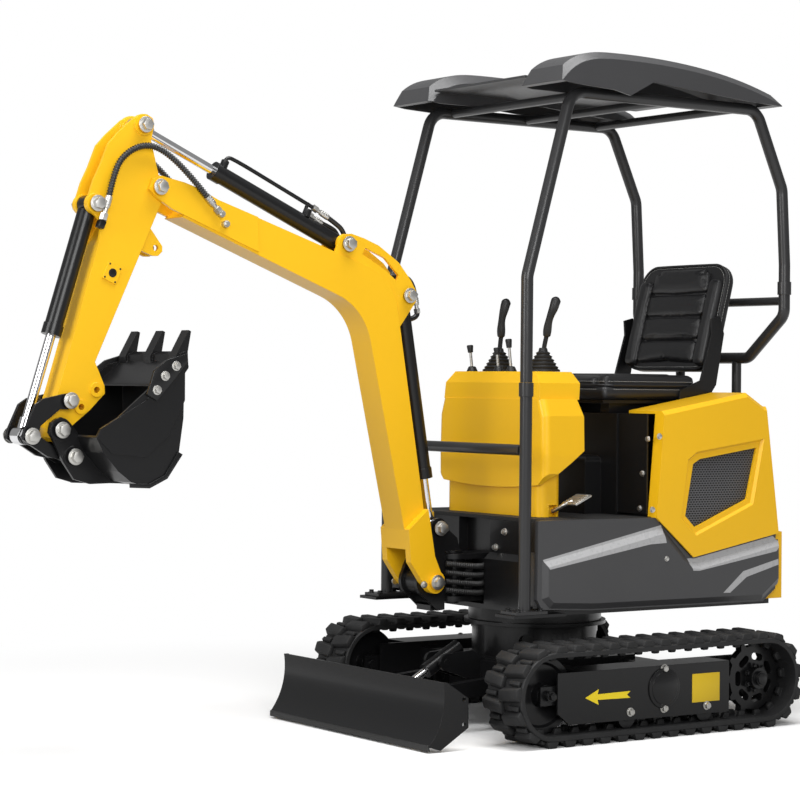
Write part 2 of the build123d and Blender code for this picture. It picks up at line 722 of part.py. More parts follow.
def engine():
    return block((-650, -340), (-190, 190), (DECK_TOP + RUNNING_GAP, 890))


def seat_box():
    """Sheet-metal box under the seat, open below and behind, with its bulkhead and tunnel."""
    z0, z1 = FLOOR_TOP + RUNNING_GAP, SEAT_BOX_TOP
    outer = block((-735, SEAT_BOX_FRONT), (-SEAT_BOX_HALF, SEAT_BOX_HALF), (z0, z1))
    hollow = SEAT_BOX_HALF - SKIN
    inner = block((-736, SEAT_BOX_FRONT - SKIN), (-hollow, hollow), (z0 - 1, z1 - SKIN))
    half = FRONT_OPENING_HALF - RUNNING_GAP
    bulkhead = block((SEAT_BOX_FRONT - 2 * SKIN, SEAT_BOX_FRONT - SKIN), (-half, half), (z0 + 8, z1))
    tunnel = block((SEAT_BOX_FRONT - 1, SEAT_BOX_FRONT + 70), (-TUNNEL_HALF, TUNNEL_HALF), (z0, TUNNEL_TOP))
    front = tunnel.faces().sort_by(Axis.X)[-1].edges().filter_by(Axis.Z, reverse=True).sort_by(Axis.Z)[1:]
    upper = tunnel.edges().filter_by(Axis.X).sort_by(Axis.Z)[2:]
    return outer - inner + bulkhead + fillet(front + upper, 24)


def seat_frame():
    """Slides under the cushion and the bolted side brackets of the backrest."""
    pan = CUSHION_BOTTOM - 12
    frame = block((-540, -130), (-200, 200), (pan, CUSHION_BOTTOM - RUNNING_GAP))
    bracket = [
        (-440, 1083), (-445, 1130), (-540, 1165), (-592, 1330), (-588, 1382), (-628, 1392),
        (-648, 1330), (-612, 1150), (-560, 1083),
    ]
    near, far = SEAT_WIDTH / 2 + RUNNING_GAP, SEAT_WIDTH / 2 + 8
    frame += both_sides(bracket, near, far)
    for side in (1, -1):
        y = side * 150
        frame += block((-520, -180), (y - 22, y + 22), (SEAT_BOX_TOP + RUNNING_GAP, pan))
        frame += block((-535, -455), sorted((side * 190, side * far)), (pan, CUSHION_BOTTOM - 1))
    return frame


def cushion():
    half = SEAT_WIDTH / 2
    body = block((CUSHION_BACK, CUSHION_FRONT), (-half, half), (CUSHION_BOTTOM, CUSHION_TOP))
    return fillet(body.edges().filter_by(Axis.Z) + body.faces().sort_by(Axis.Z)[-1].edges(), 26)


def backrest():
    half = SEAT_WIDTH / 2
    body = block((-BACK_THICK, 0), (-half, half), (0, BACK_HEIGHT))
    body = fillet(body.edges().filter_by(Axis.X), 60)
    body = fillet(body.faces().sort_by(Axis.X)[-1].edges(), 20)
    x, z = BACK_FOOT
    return Pos(x, 0, z) * Rot(0, -BACK_TILT, 0) * body


def across_view(points, arc=None):
    """Prism along x over the console's whole depth, from the left half of its front view."""
    ring = Polyline(*points) + Polyline(*[(-y, z) for y, z in points])
    ring += arc if arc else Line(points[-1], (-points[-1][0], points[-1][1]))
    ring += Line(points[0], (-points[0][0], points[0][1]))
    return extrude(Plane.YZ * make_face(ring), 300)


def console():
    """Control stand: a bellied shield on a narrower foot, under a stepped cap with cut corners."""
    half, front, back = CONSOLE_HALF, CONSOLE_FRONT, CONSOLE_BACK
    step, lip, top = CONSOLE_STEP, CONSOLE_LIP, CONSOLE_TOP
    belly = ThreePointArc((half - 37, lip + 14), (0, lip), (37 - half, lip + 14))
    edge = [(half - 23, step), (half - 4, step - 55), (half, 909), (half - 1, 850), (half - 37, lip + 14)]
    shield = across_view(edge, belly)
    side = [
        (front, step), (front, lip - 1), (170, 831), (88, 885), (back, 925), (back, 1036), (back + 15, step),
    ]
    shield &= slab(side, -half, half)
    upright_edges = shield.edges().filter_by(lambda edge: edge.bounding_box().size.Z > 40)
    shield = fillet(upright_edges.filter_by(lambda edge: edge.center().X > front - 1), 26)
    cap = across_view([(half - 34, step - 1), (half - 40, 1150), (half - 77, top)])
    cap_side = [
        (front - 2, step - 1), (front - 4, 1150), (front - 18, top), (30, top), (22, 1150), (30, step - 1),
    ]
    cap &= slab(cap_side, -half, half)
    foot = block((96, front - 10), (-CONSOLE_FOOT_HALF, CONSOLE_FOOT_HALF), (FLOOR_TOP + RUNNING_GAP, 900))
    foot = fillet(foot.edges().filter_by(Axis.Z), 30)
    foot -= block((118, 152), (CONSOLE_FOOT_HALF - 20, CONSOLE_FOOT_HALF + 1), (FLOOR_TOP - 5, 745))
    return shield + foot + cap


def joysticks():
    """Two rubber boots with their bent sticks and grips."""
    folds = [
        (0, 0), (56, 0), (56, 8), (46, 16), (50, 24), (38, 32), (42, 40), (30, 48), (32, 56), (16, 70), (0, 70),
    ]
    boot = revolve(Plane.XZ * make_face(Polyline(*folds, close=True)), Axis.Z)
    places = []
    for side in (1, -1):
        lean = JOYSTICK_LEAN[side]
        stick = tube([(0, 0, 60), (0, lean / 3, 130), (0, lean, 245)], 15, 60)
        places.append(Pos(JOYSTICK_X, side * JOYSTICK_HALF, CONSOLE_TOP + RUNNING_GAP) * (boot + stick))
    return Compound(children=places)


def front_post():
    """Lower half of a front post, on its bolted flange, with the joint's collar."""
    y = POST_HALF
    z0 = DECK_BOTTOM + 10 + RUNNING_GAP
    post = upright(POST_X, y, z0, POST_JOINT_HEIGHT, POST_RADIUS)
    post += block((POST_X - 63, POST_X + 63), (y - 42, y + 42), (z0, z0 + 10))
    post += upright(POST_X, y, POST_JOINT_HEIGHT - 45, POST_JOINT_HEIGHT, COLLAR_RADIUS)
    return post


def handrail():
    half = POST_HALF - POST_RADIUS - RUNNING_GAP
    return across((POST_X, RAIL_HEIGHT), 18, -half, half)


def canopy_tube():
    """Upper post, roof rail and rear post of one side, bent from one tube."""
    y = POST_HALF
    points = [
        (POST_X, y, POST_JOINT_HEIGHT + RUNNING_GAP), (POST_X, y, POST_BEND_HEIGHT),
        (CANOPY_FRONT[0], y, CANOPY_FRONT[1]), (CANOPY_REAR[0], y, CANOPY_REAR[1]),
        (HOOP_BEND[0], y, HOOP_BEND[1]), (HOOP_X, y, HOOP_JOINT_HEIGHT + 60),
        (HOOP_X, y, HOOP_JOINT_HEIGHT + RUNNING_GAP),
    ]
    return tube(points, POST_RADIUS, 70)


def canopy_bars():
    """Cross tubes between the two roof rails."""
    half = POST_HALF - POST_RADIUS - RUNNING_GAP
    bars = [across((x, CANOPY_FRONT[1]), BAR_RADIUS, -half, half) for x in BAR_PLACES]
    return Compound(children=bars)


def rear_guard():
    """Lower rear frame: stubs from the tail, low bar, splayed corners, posts and top bar."""
    points = []
    for side in (1, -1):
        points.append([
            (HOOP_X, side * POST_HALF, HOOP_JOINT_HEIGHT), (HOOP_X, side * POST_HALF, HOOP_CORNER_HEIGHT),
            (HOOP_X, side * HOOP_LOW_HALF, HOOP_LOW_BAR),
        ])
    path = points[0] + list(reversed(points[1]))
    frame = tube(path, POST_RADIUS, 50)
    frame += across((HOOP_X, HOOP_TOP_BAR), 15, -POST_HALF, POST_HALF)
    for side in (1, -1):
        frame += upright(HOOP_X, side * 150, 1086, HOOP_LOW_BAR, POST_RADIUS - 3)
        frame += upright(HOOP_X, side * POST_HALF, HOOP_JOINT_HEIGHT - 45, HOOP_JOINT_HEIGHT, COLLAR_RADIUS)
        frame += block((HOOP_X - 36, HOOP_X + 36), (side * 150 - 40, side * 150 + 40), (1080, 1090))
    return frame


ROOF_CROWN = [(262, 2180), (205, 2214), (50, 2236), (-230, 2228), (-480, 2196), (-656, 2152)]
ROOF_LOW = [(-690, 2113), (-531, 2119), (-107, 2150), (-7, 2098), (60, 2112), (234, 2120), (283, 2127)]


def roof_hump(inset, low, high):
    """Prism with the roof's side view, or the hollow under its skin where the inset is the skin."""
    crown = [(x * (1 - inset / 300), z - inset) for x, z in ROOF_CROWN]
    foot = [(-680, 2050), (272, 2050)] if inset else ROOF_LOW
    ring = Spline(*crown) + Polyline(crown[-1], *foot, crown[0])
    return prism(Plane.XZ * make_face(ring), low, high)


def roof():
    """Moulded canopy roof: a raised hump along each side and a recessed middle."""
    skin, outer, inner = ROOF_SKIN, ROOF_HALF, ROOF_CENTRE_HALF
    hump = roof_hump(0, inner - skin, outer)
    for face, cut in ((-1, 24), (0, 34)):
        ridge = hump.faces().sort_by(Axis.Y)[face].edges().filter_by(lambda edge: edge.center().Z > 2160)
        hump = chamfer(ridge.sort_by(SortBy.LENGTH)[-1], cut)
    hollow = roof_hump(skin, inner, outer - skin)
    for face, cut in ((-1, 24), (0, 30)):
        ridge = hollow.faces().sort_by(Axis.Y)[face].edges().filter_by(lambda edge: edge.center().Z > 2150)
        hollow = chamfer(ridge.sort_by(SortBy.LENGTH)[-1], cut)
    rest = CANOPY_FRONT[1] + BAR_RADIUS + RUNNING_GAP
    hump = hump - hollow - block((-640, 250), (inner - skin - 1, inner + 1), (2000, rest))
    low, high = ROOF_PANEL_HEIGHT - skin, ROOF_PANEL_HEIGHT
    panel = block((-655, 262), (-inner + skin - 1, inner - skin + 1), (low, high))
    return hump + mirrored(hump) + panel


# Swing bracket and boom

def swing_bracket():
    """Casting on the swing pin that carries the boom's foot and the boom cylinder's lower eye."""
    z0, z1 = LOWER_LUG_TOP + 1, UPPER_LUG_TOP - LUG_PLATE - 1
    body = upright(SWING_X, 0, z0, z1, KNUCKLE_RADIUS)
    body += block((SWING_X, 430), (-38, 38), (z0, z1))
    fx, fz = FOOT
    ex, ez = BOOM_CYLINDER_EYE
    shape = [
        (ex - 33, ez), (372, 632), (360, 592), (421, 588), (421, 395), (450, 392), (fx + 42, fz - 34),
        (fx + 56, fz), (fx + 40, fz + 50), (478, 610), (ex + 31, ez),
    ]
    inner = BRACKET_HALF - BRACKET_PLATE
    plates = both_sides(shape, inner, BRACKET_HALF)
    for low, high in ((inner, BRACKET_HALF), (-BRACKET_HALF, -inner)):
        plates += across(BOOM_CYLINDER_EYE, 33, low, high)
        plates += across(FOOT, 56, low, high)
    body += plates + open_heads(BOOM_CYLINDER_EYE, inner, BRACKET_HALF)
    body += across(FOOT, 46, -BRACKET_HALF, BRACKET_HALF)
    body += block((421, 470), (-inner - 1, inner + 1), (392, 410))
    body += upright(SWING_X, 0, LOWER_LUG_TOP - LUG_PLATE - 8, UPPER_LUG_TOP + 8, SWING_PIN_RADIUS)
    body += upright(SWING_X, 0, UPPER_LUG_TOP + 1, UPPER_LUG_TOP + 9, SWING_PIN_RADIUS + 12)
    return body - across(FOOT, PIN_RADIUS + 5 + RUNNING_GAP, -100, 100)


def bored(shape, point, radius=PIN_RADIUS):
    """Cuts a pin's running hole through everything on its line."""
    return shape - across(point, radius + RUNNING_GAP, -BLADE_TUBE_HALF, BLADE_TUBE_HALF)


def hinge_pin(point, half, radius=PIN_RADIUS):
    """Pin through both cheeks, with a head and a lock plate outside them."""
    pin = across(point, radius, -half - HEAD_THICK, half + HEAD_THICK)
    for side in (1, -1):
        low, high = sorted((side * (half + 1), side * (half + HEAD_THICK)))
        pin += across(point, radius + 6, low, high)
    return pin


def open_heads(point, inner, outer, radius=HEAD_RADIUS):
    """Ends of a pin, seated in the cheeks only."""
    heads = None
    for side in (1, -1):
        low, high = sorted((side * inner, side * (outer + HEAD_THICK)))
        head = across(point, radius, low, high)
        heads = head if heads is None else heads + head
    return heads


def boom():
    """Bent box boom with its foot fork, elbow ears and tip fork."""
    chord = BOOM_CHORD
    box = [
        (chord - 122, 8), (864, 363), (182, 16), (150, 0), (132, 84), (232, 145), (871, 516),
        (chord - 155, 142), (chord - 112, 118),
    ]
    body = slab(box, -BOOM_HALF, BOOM_HALF, {1: ELBOW_INSIDE_RADIUS, 6: ELBOW_OUTSIDE_RADIUS})
    foot = [(205, 28), (116, -34), (34, -40), (0, -36), (-20, 20), (8, 36), (67, 52), (205, 130)]
    for low, high in ((FORK_INSIDE, FORK_OUTSIDE), (-FORK_OUTSIDE, -FORK_INSIDE)):
        body += slab(foot, low, high) + across((0, 0), 38, low, high)
    body += slab([(205, 28), (150, -10), (138, 86), (205, 128)], -FORK_OUTSIDE, FORK_OUTSIDE)
    tip = [
        (chord - 23, -26), (chord + 15, -31), (chord + 33, 1), (chord + 22, 28), (chord - 42, 80),
        (chord - 92, 113), (chord - 155, 142), (chord - 286, 225), (chord - 374, 158), (chord - 80, -6),
    ]
    body += both_sides(tip, TIP_INSIDE, TIP_INSIDE + TIP_PLATE)
    ear = [
        (1060, 370), (1092, 425), (1097, 452), (1082, 478), (1040, 508), (986, 539), (895, 567), (818, 568),
        (776, 562), (752, 538), (724, 420), (871, 470),
    ]
    slot = [(1012, 492), (940, 532), (862, 540), (852, 522), (905, 510), (1004, 470)]
    inner = EAR_OUTSIDE - EAR_PLATE
    plates = both_sides(ear, inner, EAR_OUTSIDE) - slab(slot, -60, 60)
    for pin in (BOOM_CYLINDER_TOP, ARM_CYLINDER_BASE):
        for low, high in ((EYE_HALF + 2, EAR_OUTSIDE), (-EAR_OUTSIDE, -EYE_HALF - 2)):
            plates += across(pin, 33, low, high)
    body += plates
    body = bored(bored(bored(body, (chord, 0)), BOOM_CYLINDER_TOP), ARM_CYLINDER_BASE)
    body += hinge_pin((0, 0), FORK_OUTSIDE, PIN_RADIUS + 5)
    return placed(body, FOOT, BOOM_ANGLE)


def arm():
    """Box arm with its two head plates, rocker pin bore, thumb mounts and end boss."""
    beam = [
        (-20, -34), (590, -29), (640, -24), (812, -36), (846, -14), (845, 18), (822, 38), (703, 47), (485, 75),
        (423, 85), (248, 108), (114, 96), (54, 128), (14, 96), (4, 40), (-24, 30),
    ]
    body = slab(beam, -ARM_HALF, ARM_HALF) + across((0, 0), 38, -ARM_HALF, ARM_HALF)
    head = [
        (-188, 123), (-180, 141), (-155, 160), (-90, 189), (-45, 204), (27, 201), (82, 203), (145, 196),
        (168, 180), (174, 150), (186, 124), (248, 108), (420, 60), (374, -18), (48, -28), (-35, 9),
        (-75, 41), (-120, 77), (-170, 88), (-186, 101),
    ]
    cheek = ARM_HALF - ARM_CHEEK
    body += both_sides(head, cheek, ARM_HALF)
    gusset = [(560, -20), (576, -29), (628, -88), (649, -99), (716, -73), (782, -38), (820, 0)]
    body += both_sides(gusset, cheek, ARM_HALF)
    bracket = [(123, -20), (123, -42), (153, -98), (168, -105), (187, -97), (195, -80), (199, -20)]
    body += both_sides(bracket, 20, 32)
    for boss in THUMB_BOSSES:
        body += across(boss, 22, -ARM_HALF - 4, ARM_HALF + 4)
        body = body - across(boss, THUMB_BORE, -100, 100)
    body -= across(THUMB_HOLE, THUMB_BORE, -40, 40)
    for low, high in ((EYE_HALF + 2, ARM_HALF + 4), (-ARM_HALF - 4, -EYE_HALF - 2)):
        body += across(BUCKET_CYLINDER_BASE, 31, low, high)
        body += across(ARM_CYLINDER_ROD, 33, low, high)
    body = bored(bored(bored(body, BUCKET_CYLINDER_BASE), ROCKER_PIN), (ARM_LENGTH, 0))
    body += open_heads(ARM_CYLINDER_ROD, EYE_HALF + 2, ARM_HALF + 4)
    body += both_sides([(279, 6), (335, 6), (335, 56), (279, 56)], ARM_HALF - 1, ARM_HALF + 5)
    body += hinge_pin((0, 0), TIP_INSIDE + TIP_PLATE)
    return placed(body, BOOM_TIP, ARM_ANGLE)


BUCKET_BACK = [
    (30, 50), (20, 100), (24, 175), (38, 229), (74, 272), (136, 288), (217, 262), (294, 190), (408, 52),
]


def bucket():
    """Shell with side plates, ears that run down its back, lip, side cutters and teeth."""
    half = BUCKET_WIDTH / 2
    wall = BUCKET_WALL
    inside = [
        (30 + wall, 48), (20 + wall + 1, 100), (24 + wall, 172), (46, 224), (79, 263), (137, 278), (212, 253),
        (287, 184), (392, 46),
    ]
    shell = slab(BUCKET_BACK + [(392, 45)], -half, half)
    shell -= slab(inside, -half + wall, half - wall)
    mouth = [
        (30, 50), (56, 38), (234, 68), (298, 22), (352, 26), (408, 52), (330, 150), (217, 200), (120, 200),
        (40, 120),
    ]
    sides = both_sides(mouth, half - wall, half + 3)
    ear = [
        (-10, -37), (26, -28), (38, 0), (40, 40), (34, 52), (26, 105), (30, 175), (44, 229), (80, 268),
        (86, 280), (28, 230), (-24, 190), (-56, 145), (-52, 80), (-38, 12), (-34, -18),
    ]
    ears = both_sides(ear, EAR_INNER_HALF, EAR_INNER_HALF + 12)
    for low, high in ((EAR_INNER_HALF, EAR_INNER_HALF + 16), (-EAR_INNER_HALF - 16, -EAR_INNER_HALF)):
        ears += across((0, 0), 36, low, high) + across(BUCKET_LINK, 32, low, high)
    lip = slab([(372, 96), (356, 84), (402, 30), (424, 34)], -half - 3, half + 3)
    body = shell + sides + ears + lip
    for index in range(TOOTH_COUNT):
        middle = (index - (TOOTH_COUNT - 1) / 2) * (BUCKET_WIDTH - TOOTH_WIDTH - 12) / (TOOTH_COUNT - 1)
        tooth = [(372, 92), (362, 72), (392, 28), (476, -6), (480, 2), (432, 44), (404, 84)]
        body += slab(tooth, middle - TOOTH_WIDTH / 2, middle + TOOTH_WIDTH / 2)
    body = bored(body, BUCKET_LINK)
    pin = hinge_pin((0, 0), EAR_INNER_HALF + 16)
    return placed(body + pin, ARM_TIP, BUCKET_ANGLE)


def rocker():
    """Two bent side plates between the arm and the bucket cylinder's rod."""
    end = (ROCKER_LENGTH, 0)
    shape = [
        (-20, 12), (-22, -8), (0, -22), (20, -18), (40, 0), (121, 3), (146, -16), (164, -23), (184, -12),
        (190, 8), (166, 28), (93, 62), (60, 58), (0, 26),
    ]
    outer = ROCKER_INSIDE + 12
    body = both_sides(shape, ROCKER_INSIDE, outer)
    body += hinge_pin((0, 0), outer) + open_heads(end, ROCKER_INSIDE, outer)
    return placed(body, spot(BOOM_TIP, ARM_ANGLE, ROCKER_PIN), ROCKER_ANGLE)


def link():
    """Two side plates joined by a web, between the bucket and the rocker."""
    start = spot(ARM_TIP, BUCKET_ANGLE, BUCKET_LINK)
    end = (LINK_LENGTH, 0)
    shape = [
        (-20, 12), (-22, -8), (0, -24), (30, -22), (70, -30), (130, -22), (152, -24), (174, -10), (174, 12),
        (152, 24), (125, 16), (70, 6), (30, 16), (0, 24),
    ]
    body = both_sides(shape, LINK_INSIDE, LINK_INSIDE + LINK_PLATE)
    body += block((36, 70), (-LINK_INSIDE - 1, LINK_INSIDE + 1), (-22, -8))
    body += hinge_pin((0, 0), EAR_INNER_HALF + 16)
    return placed(body, start, LINK_ANGLE)


def loose_hoses(routes, radius, bend):
    """Hoses side by side as one bundle, each along its own route."""
    return Compound(children=[tube(points, radius, bend) for points in routes])


def arm_hoses():
    """A loop on each side of the arm's pivot, from the boom's coupling to the bucket cylinder."""
    tip = BOOM_CHORD
    boom_part = [(tip - 211, 122), (tip - 26, 103), (tip + 89, 72)]
    arm_part = [(-88, 112), (-20, 158), (80, 152), (172, 128)]
    route = [spot(FOOT, BOOM_ANGLE, point) for point in boom_part]
    route += [spot(BOOM_TIP, ARM_ANGLE, point) for point in arm_part]
    return loose_hoses([[(x, y, z) for x, z in route] for y in (-HOSE_HALF, HOSE_HALF)], HOSE_RADIUS, 35)


def swing_hoses():
    """Hoses one above the other, from the house past the swing pin to the bracket."""
    end = BRACKET_HALF + HOSE_RADIUS + RUNNING_GAP
    routes = []
    for side in (1, -1):
        for row in range(4):
            z = 452 + 29 * row
            start, finish = (228, side * 60, z), (425, side * end, z + 8)
            routes.append([start, (300, side * 74, z), (365, side * 74, z), finish])
    return loose_hoses(routes, HOSE_RADIUS, 25)


def build():
    """Every piece of the machine, by the name of its file."""
    pieces = {
        "carbody": carbody(), "blade_mounts": blade_mounts(),
        "blade": blade(), "blade_frame": blade_frame(),
        "blade_cylinder_barrel": blade_barrel(), "blade_cylinder_rod": blade_rod(),
    }
    belt, frame = track(), track_frame()
    centre = Pos(0, TRACK_GAUGE / 2, 0)
    for name, side in SIDES.items():
        pieces[f"track_{name}"] = Pos(0, side * TRACK_GAUGE / 2, 0) * belt
    pairs = {"track_frame": centre * frame, "skirt": skirt(), "side_cover": side_cover()}
    for name, shape in pairs.items():
        pieces[f"{name}_left"] = shape
        pieces[f"{name}_right"] = mirrored(shape)
    shared = {
        "idlers": centre * idler(), "sprockets": centre * sprocket(), "track_rollers": centre * rollers(),
        "grilles": grille(), "front_posts": front_post(), "canopy_tubes": canopy_tube(),
    }
    for name, shape in shared.items():
        pieces[name] = Compound(children=shape.solids() + mirrored(shape).solids())
    pieces["house_frame"] = house_frame()
    pieces["floor"] = floor_plate()
    pieces["rear_hood"] = rear_hood()
    pieces["counterweight"] = counterweight()
    pieces["engine"] = engine()
    pieces["seat_box"] = seat_box()
    pieces["seat_frame"] = seat_frame()
    pieces["seat_cushion"] = cushion()
    pieces["seat_back"] = backrest()
    pieces["console"] = console()
    pieces["joysticks"] = joysticks()
    pieces["handrail"] = handrail()
    pieces["canopy_bars"] = canopy_bars()
    pieces["rear_guard"] = rear_guard()
    pieces["roof"] = roof()
    pieces["swing_bracket"] = swing_bracket()
    pieces["boom"] = boom()
    pieces["arm"] = arm()
    pieces["bucket"] = bucket()
    pieces["rocker"] = rocker()
    pieces["link"] = link()
    boom_top = spot(FOOT, BOOM_ANGLE, BOOM_CYLINDER_TOP)
    arm_base = spot(FOOT, BOOM_ANGLE, ARM_CYLINDER_BASE)
    arm_rod = spot(BOOM_TIP, ARM_ANGLE, ARM_CYLINDER_ROD)
    bucket_base = spot(BOOM_TIP, ARM_ANGLE, BUCKET_CYLINDER_BASE)
    link_pin = spot(spot(BOOM_TIP, ARM_ANGLE, ROCKER_PIN), ROCKER_ANGLE, (ROCKER_LENGTH, 0))
    rams = {
        "boom": (boom_top, BOOM_CYLINDER_EYE, BOOM_BARREL_LENGTH, EAR_OUTSIDE),
        "arm": (arm_base, arm_rod, ARM_BARREL_LENGTH, EAR_OUTSIDE),
        "bucket": (bucket_base, link_pin, BUCKET_BARREL_LENGTH, ARM_HALF + 4),
    }
    for name, (base, end, length, cheek) in rams.items():
        pieces[f"{name}_cylinder_barrel"] = cylinder_barrel(base, end, length, cheek)
        pieces[f"{name}_cylinder_rod"] = cylinder_rod(base, end, length)
    pieces["arm_hoses"] = arm_hoses()
    pieces["swing_hoses"] = swing_hoses()
    return pieces


def main():
    os.makedirs("parts", exist_ok=True)
    for name, shape in build().items():
        save(shape, name)


main()
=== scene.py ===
import math

import bmesh
import bpy
from bpy.props import FloatVectorProperty, IntProperty, PointerProperty
from mathutils import Matrix, Vector
from mathutils.bvhtree import BVHTree


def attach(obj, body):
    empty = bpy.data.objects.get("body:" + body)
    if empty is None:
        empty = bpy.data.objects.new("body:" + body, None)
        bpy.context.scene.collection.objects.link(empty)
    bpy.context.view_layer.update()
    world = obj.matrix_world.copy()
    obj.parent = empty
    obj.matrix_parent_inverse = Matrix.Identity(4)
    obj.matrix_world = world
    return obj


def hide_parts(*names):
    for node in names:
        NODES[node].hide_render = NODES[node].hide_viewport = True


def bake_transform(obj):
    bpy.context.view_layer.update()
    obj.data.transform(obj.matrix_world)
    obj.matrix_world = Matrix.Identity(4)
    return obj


bl_info = {
    "name": "Mini excavator finish",
    "version": (1, 0, 0),
    "blender": (4, 5, 0),
    "location": "View3D > Sidebar > Excavator",
    "description": "Paint, seat, controls, hoses, fasteners and stage for the mini excavator's frame",
    "category": "Object",
}

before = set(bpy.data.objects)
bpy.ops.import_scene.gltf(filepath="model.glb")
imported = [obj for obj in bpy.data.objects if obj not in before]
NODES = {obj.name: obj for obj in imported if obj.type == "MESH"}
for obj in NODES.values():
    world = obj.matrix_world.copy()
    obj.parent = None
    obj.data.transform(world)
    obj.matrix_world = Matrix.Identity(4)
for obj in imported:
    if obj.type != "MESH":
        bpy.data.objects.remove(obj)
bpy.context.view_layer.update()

# The working group's own frames: origin in the x-z plane in metres, angle in degrees
FOOT, BOOM_ANGLE, BOOM_CHORD = (0.480, 0.490), 50.1, 1.626
ARM_ANGLE, ARM_LENGTH = -66.3, 0.812
BUCKET_ANGLE = 141.0
TRACK_CENTRE = 0.495
AXLE_HEIGHT = 0.160
IDLER_X, SPROCKET_X = 0.370, -0.544


def spot(origin, angle, u, v):
    """Point of a working part's own frame, in the x-z plane of the machine."""
    turn = math.radians(angle)
    return (
        origin[0] + u * math.cos(turn) - v * math.sin(turn),
        origin[1] + u * math.sin(turn) + v * math.cos(turn),
    )


def placer(origin, angle):
    """Function that takes a part's own coordinates to a place on the machine."""
    def place(u, v, y=0.0):
        x, z = spot(origin, angle, u, v)
        return Vector((x, y, z))
    return place


BOOM_TIP = spot(FOOT, BOOM_ANGLE, BOOM_CHORD, 0)
ARM_TIP = spot(BOOM_TIP, ARM_ANGLE, ARM_LENGTH, 0)
on_boom = placer(FOOT, BOOM_ANGLE)
on_arm = placer(BOOM_TIP, ARM_ANGLE)
on_bucket = placer(ARM_TIP, BUCKET_ANGLE)

# Pins that carry a part with a frame of its own
ARM_CYLINDER_EYE = on_boom(1.065, 0.445)
BOOM_CYLINDER_EYE = on_boom(0.787, 0.528)
ROCKER_PIN = on_arm(0.720, 0.009)
ROCKER_ANGLE, ROCKER_LENGTH = -40.3, 0.164
ARM_CYLINDER_ANGLE = math.degrees(math.atan2(-0.362, 0.737)) + BOOM_ANGLE
BOOM_CYLINDER_ANGLE = -99.8
on_arm_cylinder = placer(ARM_CYLINDER_EYE.xz, ARM_CYLINDER_ANGLE)
on_boom_cylinder = placer(BOOM_CYLINDER_EYE.xz, BOOM_CYLINDER_ANGLE)
on_rocker = placer(ROCKER_PIN.xz, ROCKER_ANGLE)

FORWARD, LEFTWARD, UP = (1, 0, 0), (0, 1, 0), (0, 0, 1)
SIDE_NAMES = {1: "left", -1: "right"}
WHITE = (1.0, 1.0, 1.0, 1.0)


# Shader building

class Value:
    """A shader socket that can stand in a sum."""

    def __init__(self, graph, socket):
        self.graph = graph
        self.socket = socket

    def math(self, kind, *others):
        ordered = [self] + list(others)
        return self.graph.node("ShaderNodeMath", {"operation": kind}, dict(enumerate(ordered)))

    def __add__(self, other):
        return self.math("ADD", other)

    __radd__ = __add__

    def __mul__(self, other):
        return self.math("MULTIPLY", other)

    __rmul__ = __mul__

    def __sub__(self, other):
        return self.math("SUBTRACT", other)

    def __rsub__(self, other):
        return self.graph.node("ShaderNodeMath", {"operation": "SUBTRACT"}, {0: other, 1: self})

    def __truediv__(self, other):
        return self.math("DIVIDE", other)

    def __pow__(self, other):
        return self.math("POWER", other)

    def above(self, level, soft=0.02):
        """0 below the level and 1 above it, with a short ramp."""
        low, high = level - soft, level + soft
        settings = {"clamp": True, "interpolation_type": "SMOOTHSTEP"}
        inputs = {0: self, 1: low, 2: high, 3: 0.0, 4: 1.0}
        return self.graph.node("ShaderNodeMapRange", settings, inputs)


class Graph:
    """A node tree that grows by calls."""

    def __init__(self, tree):
        self.tree = tree

    def feed(self, target, value):
        """Links a socket to what feeds it, or gives it its constant."""
        if isinstance(value, Value):
            self.tree.links.new(value.socket, target)
        else:
            target.default_value = value

    def node(self, kind, settings=None, inputs=None, output=0):
        made = self.tree.nodes.new(kind)
        for name, value in (settings or {}).items():
            setattr(made, name, value)
        for key, value in (inputs or {}).items():
            self.feed(made.inputs[key], value)
        return Value(self, made.outputs[output])


